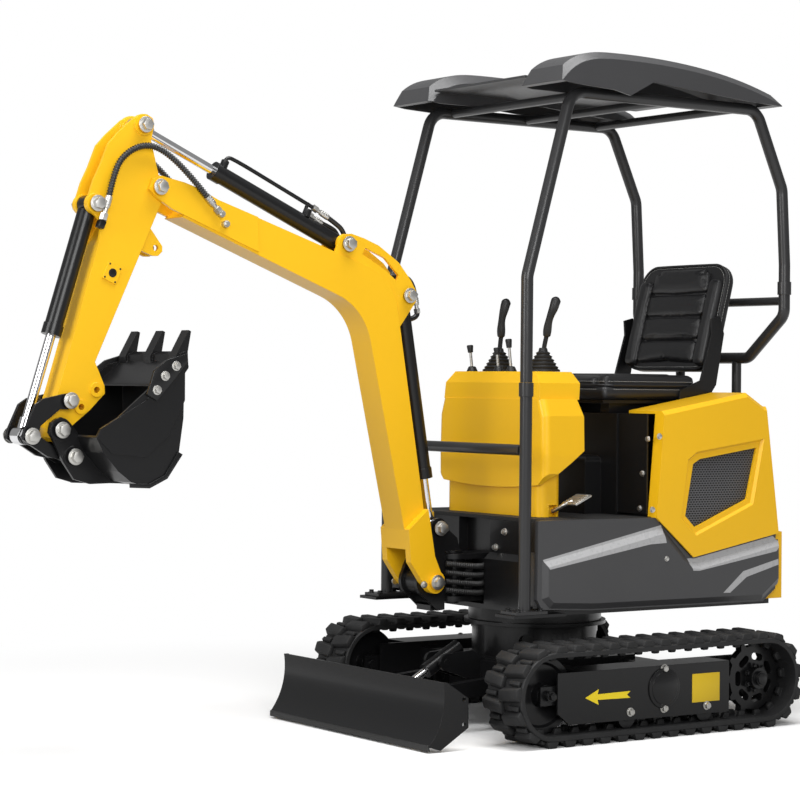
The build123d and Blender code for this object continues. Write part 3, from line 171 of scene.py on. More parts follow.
class Finish(Graph):
    """One material with its Principled shader and the nodes that feed it."""

    def __init__(self, name, **constants):
        self.material = bpy.data.materials.new(name)
        self.material.use_nodes = True
        super().__init__(self.material.node_tree)
        self.shader = self.tree.nodes["Principled BSDF"]
        for socket, value in constants.items():
            self.set(socket.replace("_", " ").title(), value)

    def set(self, socket, value):
        self.feed(self.shader.inputs[socket], value)

    def place(self):
        """Object coordinates."""
        return self.node("ShaderNodeTexCoord", output="Object")

    def axis(self, index):
        return self.node("ShaderNodeSeparateXYZ", None, {0: self.place()}, output=index)

    def noise(self, scale, detail=2.0, rough=0.5, vector=None):
        inputs = {"Vector": vector or self.place(), "Scale": scale, "Detail": detail, "Roughness": rough}
        return self.node("ShaderNodeTexNoise", None, inputs, output="Fac")

    def blend(self, factor, first, second):
        """Mix of two colours."""
        made = self.tree.nodes.new("ShaderNodeMix")
        made.data_type = "RGBA"
        ends = {"Factor": factor, "A": first, "B": second}
        for name, value in ends.items():
            self.feed([s for s in made.inputs if s.name == name and s.enabled][0], value)
        return Value(self, [s for s in made.outputs if s.enabled][0])

    def shade(self, factor, colour, low, high):
        """Base colour that drifts between two tints of one colour."""
        self.set("Base Color", self.blend(factor, tint(colour, low), tint(colour, high)))

    def cells(self, scale, kind="F1"):
        inputs = {"Vector": self.place(), "Scale": scale}
        return self.node("ShaderNodeTexVoronoi", {"feature": kind}, inputs, output="Distance")

    def bump(self, height, distance, strength=1.0, rounding=None):
        """Bump from a height, over edges rounded by a small radius where one is given."""
        inputs = {"Height": height, "Distance": distance, "Strength": strength}
        if rounding:
            inputs["Normal"] = self.node("ShaderNodeBevel", {"samples": 4}, {"Radius": rounding})
        self.set("Normal", self.node("ShaderNodeBump", None, inputs))


def tint(colour, factor):
    return tuple(min(1.0, c * factor) for c in colour[:3]) + (1.0,)


def paint(name, colour, roughness, coat, grain=420.0, rounding=0.0018, gloss=0.32):
    """Sprayed paint: faint drift of shade, an orange-peel surface and softened edges."""
    f = Finish(name, roughness=roughness, coat_weight=coat, coat_roughness=0.12)
    f.set("Specular IOR Level", gloss)
    drift = f.noise(2.3, 3.0)
    dust = f.noise(38.0, 5.0, 0.65)
    f.shade(drift * 0.7 + dust * 0.3, colour, 0.94, 1.05)
    f.set("Roughness", roughness - 0.03 + 0.07 * dust)
    f.bump(f.noise(grain, 2.0), 0.00022, 0.55, rounding)
    return f.material


def moulded(name, colour, roughness, grain=900.0, depth=0.00022):
    """Grained plastic."""
    f = Finish(name, roughness=roughness)
    cells = f.cells(grain)
    drift = f.noise(3.1, 3.0)
    f.shade(drift, colour, 0.85, 1.15)
    f.set("Roughness", roughness - 0.05 + 0.1 * f.noise(60.0, 4.0))
    f.bump(cells, depth, 0.6, 0.0022)
    return f.material


def rubber(name, colour, roughness=0.78):
    """Track rubber with mould bloom and fine scuffs."""
    f = Finish(name, roughness=roughness)
    bloom = f.noise(14.0, 6.0, 0.7)
    scuff = f.noise(240.0, 3.0, 0.6)
    f.shade(bloom.above(0.52, 0.25), colour, 0.8, 1.5)
    f.set("Roughness", roughness - 0.08 + 0.16 * bloom)
    f.bump(scuff * 0.6 + bloom * 0.4, 0.0012, 0.5, 0.0025)
    return f.material


def metal(name, colour, roughness, scratch=0.0, stretch=(1.0, 1.0, 1.0), relief=0.35):
    """Bare or plated metal with drawn lines."""
    f = Finish(name, metallic=1.0, roughness=roughness)
    turned = f.node("ShaderNodeMapping", None, {"Vector": f.place(), "Scale": stretch})
    lines = f.noise(55.0, 4.0, 0.6, turned)
    f.shade(lines, colour, 0.9, 1.06)
    f.set("Roughness", roughness - 0.03 + (0.06 + scratch) * lines)
    f.bump(lines, 0.0002, relief, 0.0006 if relief > 0.1 else None)
    return f.material


def hide(name, colour, roughness=0.42):
    """Seat vinyl: pebbled grain with soft creases."""
    f = Finish(name, roughness=roughness, coat_weight=0.08, coat_roughness=0.35)
    cells = f.cells(620.0, "SMOOTH_F1")
    crease = f.noise(16.0, 6.0, 0.62)
    f.shade(crease, colour, 0.8, 1.25)
    f.set("Roughness", roughness - 0.06 + 0.14 * crease)
    f.bump(cells * 0.45 + crease * 0.8, 0.0011, 0.45)
    return f.material


STRIPES = (
    ((0.299, 0.579), (0.278, 0.548), (-0.145, 0.617), (-0.203, 0.679)),
    ((-0.145, 0.617), (-0.218, 0.620), (-0.203, 0.679), (-0.100, 0.6585)),
    ((-0.353, 0.563), (-0.338, 0.523), (-0.368, 0.522), (-0.722, 0.577), (-0.746, 0.605), (-0.714, 0.629)),
    ((-0.320, 0.564), (-0.338, 0.523), (-0.368, 0.522), (-0.353, 0.563)),
    ((-0.475, 0.443), (-0.566, 0.513), (-0.582, 0.493), (-0.506, 0.442)),
    ((-0.566, 0.513), (-0.730, 0.550), (-0.731, 0.530), (-0.582, 0.493)),
)


def inside(x, z, corners, soft=0.0006):
    """1 inside a convex outline of the x-z plane, 0 outside it."""
    if sum(a[0] * b[1] - b[0] * a[1] for a, b in zip(corners, corners[1:] + corners[:1])) < 0:
        corners = corners[::-1]
    mask = 1.0
    for (x0, z0), (x1, z1) in zip(corners, corners[1:] + corners[:1]):
        run = math.hypot(x1 - x0, z1 - z0)
        across, up = (z0 - z1) / run, (x1 - x0) / run
        mask = (x * across + z * up).above(across * x0 + up * z0, soft) * mask
    return mask


def striped(name, colour, stripe, roughness):
    """Grained plastic of the lower covers with its silver stripes."""
    f = Finish(name, roughness=roughness, coat_weight=0.12, coat_roughness=0.3)
    x, z = f.axis(0), f.axis(2)
    silver = sum(inside(x, z, corners) for corners in STRIPES).math("MINIMUM", 1.0)
    base = f.blend(f.noise(3.1, 3.0), tint(colour, 0.88), tint(colour, 1.12))
    f.set("Base Color", f.blend(silver, base, stripe))
    f.set("Roughness", roughness - 0.05 + 0.1 * f.noise(60.0, 4.0) - 0.08 * silver)
    f.bump(f.noise(900.0, 2.0), 0.0002, 0.5, 0.0022)
    return f.material


def perforated(name, colour, pitch=(0.0125, 0.0078), hole=(0.0049, 0.0027)):
    """Sheet with staggered rows of long holes, drawn in its colour: near-black painted shade where the dark
    inside would show through.
    """
    f = Finish(name, roughness=0.4)
    x, z = f.axis(0), f.axis(2)
    row = (z / pitch[1]).math("FLOOR")
    along = ((x / pitch[0] + row * 0.5).math("FRACT") - 0.5) * (pitch[0] / hole[0])
    up = ((z / pitch[1]).math("FRACT") - 0.5) * (pitch[1] / hole[1])
    metal_part = (along * along + up * up).above(1.0, 0.12)
    # The holes are not cut: their near-black colour is painted shade of the dark space behind the sheet.
    f.set("Base Color", f.blend(metal_part, (0.002, 0.002, 0.002, 1.0), colour))
    f.set("Roughness", 0.9 - 0.5 * metal_part)
    f.bump(metal_part, 0.001, 0.8)
    return f.material


MATERIALS = {}


def colour_property(name, description, default):
    return FloatVectorProperty(name=name, description=description, subtype="COLOR", size=3, min=0.0, max=1.0,
                               default=default)


class ExcavatorColours(bpy.types.PropertyGroup):
    """Colours of the machine's finishes."""

    body: colour_property("Body paint", "Yellow of boom, arm and covers", (0.93, 0.52, 0.010))
    steel: colour_property("Chassis paint", "Black of chassis, bucket and cylinders", (0.007, 0.007, 0.0075))
    tubes: colour_property("Canopy tube paint", "Dark grey of posts and rails", (0.026, 0.026, 0.027))
    plastic: colour_property("Grey plastic", "Roof and lower covers", (0.047, 0.047, 0.049))
    stripe: colour_property("Silver stripe", "Stripes on the lower covers", (0.42, 0.42, 0.425))


class ExcavatorTrim(bpy.types.PropertyGroup):
    """Settings of the upholstery."""

    cloth_steps: IntProperty(name="Stuffing steps", description="Frames that fill the seat's pads",
                             default=16, min=4, max=40)


# Mesh helpers

def placed(piece_name, mesh):
    piece = bpy.data.objects.new(piece_name, mesh)
    bpy.context.scene.collection.objects.link(piece)
    return piece


def mesh_from(name, bm):
    mesh = bpy.data.meshes.new(name)
    bm.to_mesh(mesh)
    bm.free()
    return mesh


def both(bm):
    """Adds the mirror image on the machine's other side."""
    made = bmesh.ops.duplicate(bm, geom=bm.verts[:] + bm.edges[:] + bm.faces[:])
    bmesh.ops.scale(bm, verts=only(bmesh.types.BMVert, made["geom"]), vec=(1, -1, 1))


def join_up(name, bm, body, finish, smooth, mirrored=False):
    """Turns a bmesh into a finished piece that rides on a body, smooth up to an angle in degrees."""
    if mirrored:
        both(bm)
    bmesh.ops.recalc_face_normals(bm, faces=bm.faces)
    mesh = mesh_from(name, bm)
    piece = placed(name, mesh)
    mesh.materials.append(MATERIALS[finish])
    for polygon in mesh.polygons:
        polygon.use_smooth = True
    with bpy.context.temp_override(object=piece, active_object=piece, selected_editable_objects=[piece]):
        bpy.ops.object.shade_smooth_by_angle(angle=math.radians(smooth))
    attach(piece, body)
    return piece


def only(kind, items):
    return [item for item in items if isinstance(item, kind)]


def rounded(bm, geom, offset, segments=2, affect="EDGES"):
    return bmesh.ops.bevel(bm, geom=geom, offset=offset, affect=affect, segments=segments, profile=0.5,
                           material=-1)


def edges_of(verts):
    return list({edge for vert in verts for edge in vert.link_edges})


def facing(direction, place, turn=0.0):
    """Matrix that points local Z along a direction at a place."""
    rotation = Vector(direction).normalized().to_track_quat("Z", "Y").to_matrix().to_4x4()
    return Matrix.Translation(place) @ rotation @ Matrix.Rotation(turn, 4, "Z")


def add_disc(bm, matrix, radius, height, segments=24, chamfer=0.0, top=None):
    """Short round bar from the place outwards, with an optional chamfer on its far rim."""
    made = bmesh.ops.create_cone(bm, cap_ends=True, segments=segments, radius1=radius,
                                 radius2=radius if top is None else top, depth=height,
                                 matrix=matrix @ Matrix.Translation((0, 0, height / 2)))
    if chamfer:
        inverse = matrix.inverted()
        rim = [edge for edge in edges_of(set(made["verts"]))
               if all((inverse @ vert.co).z > height * 0.99 for vert in edge.verts)]
        rounded(bm, rim, chamfer)


def add_hex_bolt(bm, place, direction, flats=0.018, washer=True, turn=0.2):
    """Hex head on its washer, standing on a surface."""
    matrix = facing(direction, place, turn)
    base = 0.0
    if washer:
        add_disc(bm, matrix, flats * 0.78, flats * 0.12, 24, flats * 0.03)
        base = flats * 0.12
    head = matrix @ Matrix.Translation((0, 0, base))
    add_disc(bm, head, flats * 0.577, flats * 0.55, 6, flats * 0.05)


def add_dome_bolt(bm, place, direction, radius=0.008):
    """Round button head with a flange."""
    matrix = facing(direction, place)
    add_disc(bm, matrix, radius * 1.25, radius * 0.22, 24, radius * 0.08)
    add_disc(bm, matrix @ Matrix.Translation((0, 0, radius * 0.22)), radius, radius * 0.55, 24, radius * 0.22)


def bolt_piece(name, body, finish, smooth, rows, mirrored=True):
    """Rows of bolts as one piece: each row has its kind, its size, the way it faces and its places."""
    bm = bmesh.new()
    for add, size, direction, places in rows:
        for place in places:
            add(bm, place, direction, size)
    join_up(name, bm, body, finish, smooth, mirrored)


def add_box(bm, low, high, bevel=0.0, matrix=None):
    """Block between two corners with rounded edges, moved by a matrix."""
    low, high = Vector(low), Vector(high)
    made = bmesh.ops.create_cube(bm, size=1.0)
    middle = (low + high) / 2
    scale = Matrix.Diagonal((*(high - low), 1.0))
    bmesh.ops.transform(bm, verts=made["verts"], matrix=Matrix.Translation(middle) @ scale)
    if bevel:
        made = rounded(bm, edges_of(made["verts"]), bevel)
    if matrix is not None:
        bmesh.ops.transform(bm, verts=made["verts"], matrix=matrix)


# Finishes for the frame's own pieces

NODE_FINISH = {
    "yellow": ("boom", "arm", "console", "side_cover_left", "side_cover_right", "rear_hood", "counterweight"),
    "black": (
        "carbody", "blade_mounts", "track_frame_left", "track_frame_right", "blade", "blade_frame",
        "house_frame", "seat_box", "swing_bracket", "bucket", "rocker", "link", "boom_cylinder_barrel",
        "arm_cylinder_barrel", "bucket_cylinder_barrel", "blade_cylinder_barrel", "sprockets", "idlers",
        "track_rollers", "grilles", "seat_frame",
    ),
    "tube": ("front_posts", "canopy_tubes", "canopy_bars", "rear_guard", "handrail"),
    "plastic": ("roof",),
    "skirt": ("skirt_left", "skirt_right"),
    "tread": ("floor",),
    "track": ("track_left", "track_right"),
    "chrome": ("boom_cylinder_rod", "arm_cylinder_rod", "bucket_cylinder_rod", "blade_cylinder_rod"),
    "hose": ("arm_hoses", "swing_hoses"),
    "vinyl": ("seat_cushion", "seat_back"),
    "grip": ("joysticks",),
    "cast": ("engine",),
}


def make_finishes():
    c = bpy.context.scene.excavator_colours
    MATERIALS.update(
        yellow=paint("body_yellow", (*c.body, 1.0), 0.36, 0.12),
        black=paint("chassis_black", (*c.steel, 1.0), 0.30, 0.12),
        tube=paint("tube_grey", (*c.tubes, 1.0), 0.32, 0.2),
        plastic=moulded("grey_plastic", (*c.plastic, 1.0), 0.38),
        skirt=striped("lower_cover_grey", (*c.plastic, 1.0), (*c.stripe, 1.0), 0.36),
        mesh=perforated("grille_sheet", (0.10, 0.10, 0.105, 1.0)),
        sign=paint("arrow_yellow", (0.90, 0.68, 0.02, 1.0), 0.5, 0.1),
        tread=moulded("floor_mat", (0.012, 0.012, 0.012, 1.0), 0.7, 240.0, 0.001),
        track=rubber("track_rubber", (0.010, 0.010, 0.0105, 1.0), 0.62),
        chrome=metal("rod_chrome", (0.80, 0.80, 0.81, 1.0), 0.10, relief=0.02),
        zinc=metal("zinc", (0.62, 0.61, 0.58, 1.0), 0.32, 0.12),
        hose=rubber("hose_rubber", (0.014, 0.014, 0.014, 1.0), 0.34),
        vinyl=hide("seat_vinyl", (0.010, 0.010, 0.011, 1.0)),
        grip=moulded("grip_rubber", (0.010, 0.010, 0.010, 1.0), 0.45, 500.0),
        thread=moulded("seat_thread", (0.33, 0.33, 0.32, 1.0), 0.7, 900.0),
        plate=paint("blank_plate", (0.74, 0.50, 0.02, 1.0), 0.5, 0.1),
        edge=metal("blade_edge_steel", (0.10, 0.10, 0.10, 1.0), 0.30, 0.2, (0.2, 4.0, 1.0)),
        cast=paint("engine_grey", (0.16, 0.16, 0.17, 1.0), 0.6, 0.0),
    )


class EXCAVATOR_OT_paint(bpy.types.Operator):
    """Gives every piece of the frame its finish"""

    bl_idname = "excavator.paint"
    bl_label = "Paint the frame"

    def execute(self, context):
        make_finishes()
        for finish, names in NODE_FINISH.items():
            for name in names:
                if name not in NODES:
                    continue
                mesh = NODES[name].data
                mesh.materials.clear()
                mesh.materials.append(MATERIALS[finish])
        return {"FINISHED"}


# Routes

def new_curve(name):
    curve = bpy.data.curves.new(name, "CURVE")
    curve.dimensions = "3D"
    return curve


def trace(points):
    """Points along a smooth route, read from its spline."""
    curve = new_curve("route")
    curve.resolution_u = 24
    spline = curve.splines.new("NURBS")
    spline.points.add(len(points) - 1)
    for point, place in zip(spline.points, points):
        point.co = (*place, 1.0)
    spline.order_u = 3
    spline.use_endpoint_u = True
    return [v.co.copy() for v in mesh_of(curve).vertices]


def mesh_of(curve):
    """Mesh of a curve, whose own object goes away again."""
    holder = placed(curve.name, curve)
    depsgraph = bpy.context.evaluated_depsgraph_get()
    mesh = bpy.data.meshes.new_from_object(holder.evaluated_get(depsgraph))
    bpy.data.objects.remove(holder)
    return mesh


def evenly(points, step):
    """Points at even steps along a line of points."""
    lengths = [0.0]
    for a, b in zip(points, points[1:]):
        lengths.append(lengths[-1] + (b - a).length)
    count = max(2, round(lengths[-1] / step))
    made, index = [], 0
    for number in range(count + 1):
        target = lengths[-1] * number / count
        while index < len(points) - 2 and lengths[index + 1] < target:
            index += 1
        span = max(lengths[index + 1] - lengths[index], 1e-9)
        made.append(points[index].lerp(points[index + 1], (target - lengths[index]) / span))
    return made


GUARD_POINTS = 4


def even_radius(number, last):
    return 1.0


def guard_radius(number, last):
    """Swell of a spiral guard, with a few points to each of its turns."""
    return 1.0 + 0.2 * math.cos(number * math.tau / GUARD_POINTS)


def tube_piece(name, routes, radius, body, finish, sides=12, step=None, swell=even_radius):
    """Bent bars or hoses along smooth routes as one mesh, each point's radius times its swell."""
    curve = new_curve(name)
    curve.bevel_depth = radius
    curve.bevel_resolution = (sides - 4) // 2
    curve.use_fill_caps = True
    for route in routes:
        points = evenly(trace([Vector(p) for p in route]), step or radius)
        spline = curve.splines.new("POLY")
        spline.points.add(len(points) - 1)
        for number, (point, place) in enumerate(zip(spline.points, points)):
            point.co = (*place, 1.0)
            point.radius = swell(number, len(points) - 1)
    mesh = mesh_of(curve)
    mesh.name = name
    mesh.materials.clear()
    mesh.materials.append(MATERIALS[finish])
    for polygon in mesh.polygons:
        polygon.use_smooth = True
    piece = placed(name, mesh)
    if body:
        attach(piece, body)
    return piece


def add_fitting(bm, start, end, radius):
    """Crimped sleeve of a hose with its hex nut at the far end."""
    start, end = Vector(start), Vector(end)
    length = (end - start).length
    along = facing(end - start, start)
    add_disc(bm, along, radius * 1.2, length * 0.5, 20, radius * 0.12)
    rings = [(share, 1.3, 0.06, 20, 0.1) for share in (0.08, 0.2, 0.32)]
    rings += [(0.48, 0.85, 0.26, 16, 0.0), (0.72, 1.45, 0.28, 6, 0.12)]
    for share, wide, tall, sides, chamfer in rings:
        ring = along @ Matrix.Translation((0, 0, length * share))
        add_disc(bm, ring, radius * wide, length * tall, sides, radius * chamfer)


def add_plate(bm, outline, low, high, bevel=0.0):
    """Flat plate from its outline in the x-z plane, between two values of y."""
    verts = [bm.verts.new((x, low, z)) for x, z in outline]
    face = bm.faces.new(verts)
    made = bmesh.ops.extrude_face_region(bm, geom=[face])
    moved = only(bmesh.types.BMVert, made["geom"])
    bmesh.ops.translate(bm, verts=moved, vec=(0, high - low, 0))
    if bevel:
        rounded(bm, edges_of(verts + moved), bevel)


# Fasteners of the working group

PIN_HEX = 0.032
PIN_HEADS = (
    ("boom_barrel", BOOM_CYLINDER_EYE, 0.061),
    ("arm_barrel", ARM_CYLINDER_EYE, 0.061),
    ("arm", on_boom(BOOM_CHORD, 0), 0.071),
    ("arm", on_arm(-0.153, 0.121), 0.060),
    ("bucket_barrel", on_arm(0.140, 0.168), 0.060),
    ("rocker", ROCKER_PIN, 0.073),
    ("link", on_bucket(-0.016, 0.090), 0.077),
    ("bucket", on_arm(ARM_LENGTH, 0), 0.077),
    ("boom", on_boom(0, 0), 0.093),
    ("swing", Vector((0.447, 0, 0.665)), 0.063),
    ("rocker", on_rocker(ROCKER_LENGTH, 0), 0.073),
)


class EXCAVATOR_OT_pins(bpy.types.Operator):
    """Puts the plated hex heads and their lock bolts on the working group's pins"""

    bl_idname = "excavator.pins"
    bl_label = "Pin heads"

    def execute(self, context):
        for body in sorted({head[0] for head in PIN_HEADS}):
            bm = bmesh.new()
            for owner, place, half in PIN_HEADS:
                if owner == body:
                    end = place + half * Vector(LEFTWARD)
                    add_hex_bolt(bm, end, LEFTWARD, PIN_HEX, turn=place.x * 5)
            join_up(f"pin_heads_{body}", bm, body, "zinc", 30, mirrored=True)
        lock = [on_boom(0.026, -0.041, 0.0825)]
        bolt_piece("foot_lock_bolts", "boom", "zinc", 30, [(add_hex_bolt, 0.015, LEFTWARD, lock)])
        return {"FINISHED"}


# Hoses and hard lines

HOSE_SIDE = 0.0693
HOSE_RADIUS = 0.009
GUARD_PITCH = 0.0085
SWING_GUARD_PITCH = 0.0075
LINE_OFFSET = 0.012
LINE_FITTING = 0.008


def run(part, y, *places):
    """Route through places of one working part, all at the same distance from its middle."""
    return [part(u, v, y) for u, v in places]


class EXCAVATOR_OT_hoses(bpy.types.Operator):
    """Lays the guarded hoses at the arm's pivot and the swing pin, with their fittings and hard lines"""

    bl_idname = "excavator.hoses"
    bl_label = "Hoses"

    def execute(self, context):
        self.arm_loops()
        self.swing_loops()
        self.arm_cylinder_line()
        self.boom_cylinder_hose()
        return {"FINISHED"}

    def arm_loops(self):
        routes = []
        for y in (HOSE_SIDE, -HOSE_SIDE):
            boom_part = run(on_boom, y, (1.500, 0.112), (1.600, 0.105), (1.715, 0.078))
            arm_part = run(on_arm, y, (-0.088, 0.114), (-0.020, 0.160), (0.052, 0.158), (0.112, 0.146))
            routes.append(boom_part + arm_part)
        step = GUARD_PITCH / GUARD_POINTS
        loops = tube_piece("arm_hose_loops", routes, HOSE_RADIUS, None, "hose", 12, step, guard_radius)
        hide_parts("arm_hoses")
        tuple(on_boom(1.600, 0.105))
        tuple(on_arm(-0.020, 0.160))
        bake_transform(loops)
        on_boom_side, on_arm_side, elbows = bmesh.new(), bmesh.new(), bmesh.new()
        turn = Matrix.Rotation(-math.radians(ARM_ANGLE), 4, "Y")
        for y in (HOSE_SIDE, -HOSE_SIDE):
            outward = 0.012 if y > 0 else -0.012
            add_fitting(on_boom_side, on_boom(1.505, 0.112, y), on_boom(1.440, 0.118, y), HOSE_RADIUS)
            for u, v in ((1.432, 0.119), (1.398, 0.112)):
                for share, radius, height, sides, chamfer in ((0.6, 0.011, 0.018, 20, 0.002),
                                                              (1.2, 0.008, 0.010, 6, 0.001)):
                    port = facing((0, -y, 0), on_boom(u, v, y + outward * share))
                    add_disc(on_boom_side, port, radius, height, sides, chamfer)
            add_fitting(on_arm_side, on_arm(0.106, 0.147, y), on_arm(0.182, 0.136, y), HOSE_RADIUS)
            block = Matrix.Translation(on_arm(0.194, 0.134, y * 0.9)) @ turn
            add_box(elbows, (-0.013, -0.012, -0.011), (0.013, 0.012, 0.011), 0.003, block)
        join_up("boom_couplings", on_boom_side, "boom", "zinc", 35)
        join_up("arm_couplings", on_arm_side, "arm", "zinc", 35)
        join_up("arm_elbows", elbows, "arm", "black", 35)

    def swing_loops(self):
        routes = []
        for side in (1, -1):
            for row in range(4):
                z = 0.452 + 0.029 * row
                bow = 0.083 + 0.003 * (row % 2)
                routes.append([
                    (0.228, side * 0.060, z), (0.262, side * 0.066, z), (0.300, side * bow, z - 0.004),
                    (0.365, side * bow, z + 0.002), (0.400, side * 0.066, z + 0.006),
                    (0.425, side * 0.0613, z + 0.008),
                ])
        step = SWING_GUARD_PITCH / GUARD_POINTS
        loops = tube_piece("swing_hose_loops", routes, HOSE_RADIUS, None, "hose", 12, step, guard_radius)
        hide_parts("swing_hoses")
        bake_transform(loops)

    def arm_cylinder_line(self):
        part, y = on_arm_cylinder, LINE_OFFSET
        line = run(part, y, (0.500, 0.024), (0.506, 0.058), (0.470, 0.064), (0.300, 0.062), (0.150, 0.060))
        tube_piece("arm_cylinder_hard_line", [line], 0.0065, "arm_barrel", "black")
        tails = [
            run(part, y, (0.085, 0.056), (0.045, 0.052), (0.010, 0.044), (-0.020, 0.012)),
            run(part, -y, (0.085, 0.036), (0.045, 0.040), (0.015, 0.034), (-0.014, 0.004)),
        ]
        tube_piece("arm_cylinder_tails", tails, HOSE_RADIUS * 0.9, "arm_barrel", "hose")
        bm = bmesh.new()
        add_fitting(bm, part(0.083, 0.056, y), part(0.148, 0.060, y), LINE_FITTING)
        add_fitting(bm, part(0.083, 0.036, -y), part(0.140, 0.040, -y), LINE_FITTING)
        join_up("arm_cylinder_couplings", bm, "arm_barrel", "zinc", 35)
        bm = bmesh.new()
        up = part(0, 1) - part(0, 0)
        ports = ((0.160, y, 0.013, 0.026, 20, 0.002), (0.500, y, 0.013, 0.026, 20, 0.002),
                 (0.148, -y, 0.012, 0.030, 20, 0.002), (0.170, y, 0.006, 0.046, 12, 0.001))
        for along, across, radius, height, sides, chamfer in ports:
            add_disc(bm, facing(up, part(along, 0.020, across)), radius, height, sides, chamfer)
        join_up("arm_cylinder_ports", bm, "arm_barrel", "black", 35)

    def boom_cylinder_hose(self):
        part = on_boom_cylinder
        tail = run(part, 0.0, (0.012, -0.062), (-0.012, -0.062), (-0.048, -0.050), (-0.066, -0.020),
                   (-0.070, 0.020), (-0.068, 0.050))
        tube_piece("boom_cylinder_tail", [tail], HOSE_RADIUS * 0.9, "boom_barrel", "hose")
        bm = bmesh.new()
        add_fitting(bm, part(0.014, -0.062), part(0.066, -0.062), LINE_FITTING)
        join_up("boom_cylinder_coupling", bm, "boom_barrel", "zinc", 35)
        elbow = run(part, 0.0, (0.064, -0.062), (0.082, -0.062), (0.082, -0.020))
        tube_piece("boom_cylinder_elbow", [elbow], HOSE_RADIUS, "boom_barrel", "black")


# Seat

SEAT_HALF = 0.230
SEAT_FRONT, SEAT_REAR = -0.108, -0.548
SEAT_LOW, SEAT_HIGH = 1.095, 1.188
BACK_FOOT, BACK_TILT, BACK_HEIGHT = (-0.548, 1.210), 15.0, 0.395
BACK_CHANNELS = 4
PAD_VOXEL = 0.0055
STITCH = 0.010


def stuffed(name, blocks, matrix, cap, node):
    """Pads blown up by a short cloth simulation, each block a pad of its own."""
    bm = bmesh.new()
    for low, high, round_by in blocks:
        add_box(bm, low, high, round_by, matrix)
    mesh = mesh_from(name, bm)
    piece = placed(name, mesh)
    context = bpy.context
    mesh.remesh_voxel_size = PAD_VOXEL
    with context.temp_override(object=piece, active_object=piece, selected_objects=[piece]):
        context.view_layer.objects.active = piece
        bpy.ops.object.voxel_remesh()
    start = [v.co.copy() for v in mesh.vertices]
    cloth = piece.modifiers.new("stuffing", "CLOTH")
    settings = cloth.settings
    settings.quality = 4
    settings.mass = 0.35
    settings.use_pressure = True
    settings.uniform_pressure_force = 4.0
    settings.tension_stiffness = settings.compression_stiffness = 18.0
    settings.bending_stiffness = 1.2
    settings.effector_weights.gravity = 0.0
    for step in range(1, context.scene.excavator_trim.cloth_steps + 1):
        context.scene.frame_set(step)
    blown = piece.evaluated_get(context.evaluated_depsgraph_get()).to_mesh()
    swollen = [v.co.copy() for v in blown.vertices]
    piece.modifiers.clear()
    for vert, before, after in zip(mesh.vertices, start, swollen):
        move = after - before
        vert.co = before + (move * (cap / move.length) if move.length > cap else move)
    context.scene.frame_set(1)
    for polygon in mesh.polygons:
        polygon.use_smooth = True
    mesh.materials.append(MATERIALS["vinyl"])
    smooth = piece.modifiers.new("smooth", "SUBSURF")
    smooth.levels = smooth.render_levels = 1
    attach(piece, "house")
    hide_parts(node)
    return piece


def snapped(piece, points, lift):
    """Points brought to a pad's surface and lifted a little off it."""
    mesh = piece.data
    tree = BVHTree.FromPolygons([v.co for v in mesh.vertices], [p.vertices for p in mesh.polygons])
    made = []
    for point in points:
        place, normal, _, _ = tree.find_nearest(point)
        made.append(place + normal * lift)
    return made


def ring_route(low, high, inset, round_by, level, matrix):
    """Closed rounded line round a pad, in its own x-y plane at one level."""
    bm = bmesh.new()
    (x0, y0), (x1, y1) = [c + inset for c in low], [c - inset for c in high]
    corners = ((x0, y0), (x1, y0), (x1, y1), (x0, y1))
    face = bm.faces.new([bm.verts.new((x, y, level)) for x, y in corners])
    rounded(bm, face.verts[:], round_by, 6, "VERTICES")
    bm.faces.ensure_lookup_table()
    points = [matrix @ v.co for v in bm.faces[0].verts]
    bm.free()
    return points + points[:1]


def add_stitches(bm, line, thread):
    places = evenly(line, STITCH)
    for a, b in zip(places, places[1:]):
        add_disc(bm, facing(b - a, a.lerp(b, 0.14)), thread, (b - a).length * 0.72, 6)


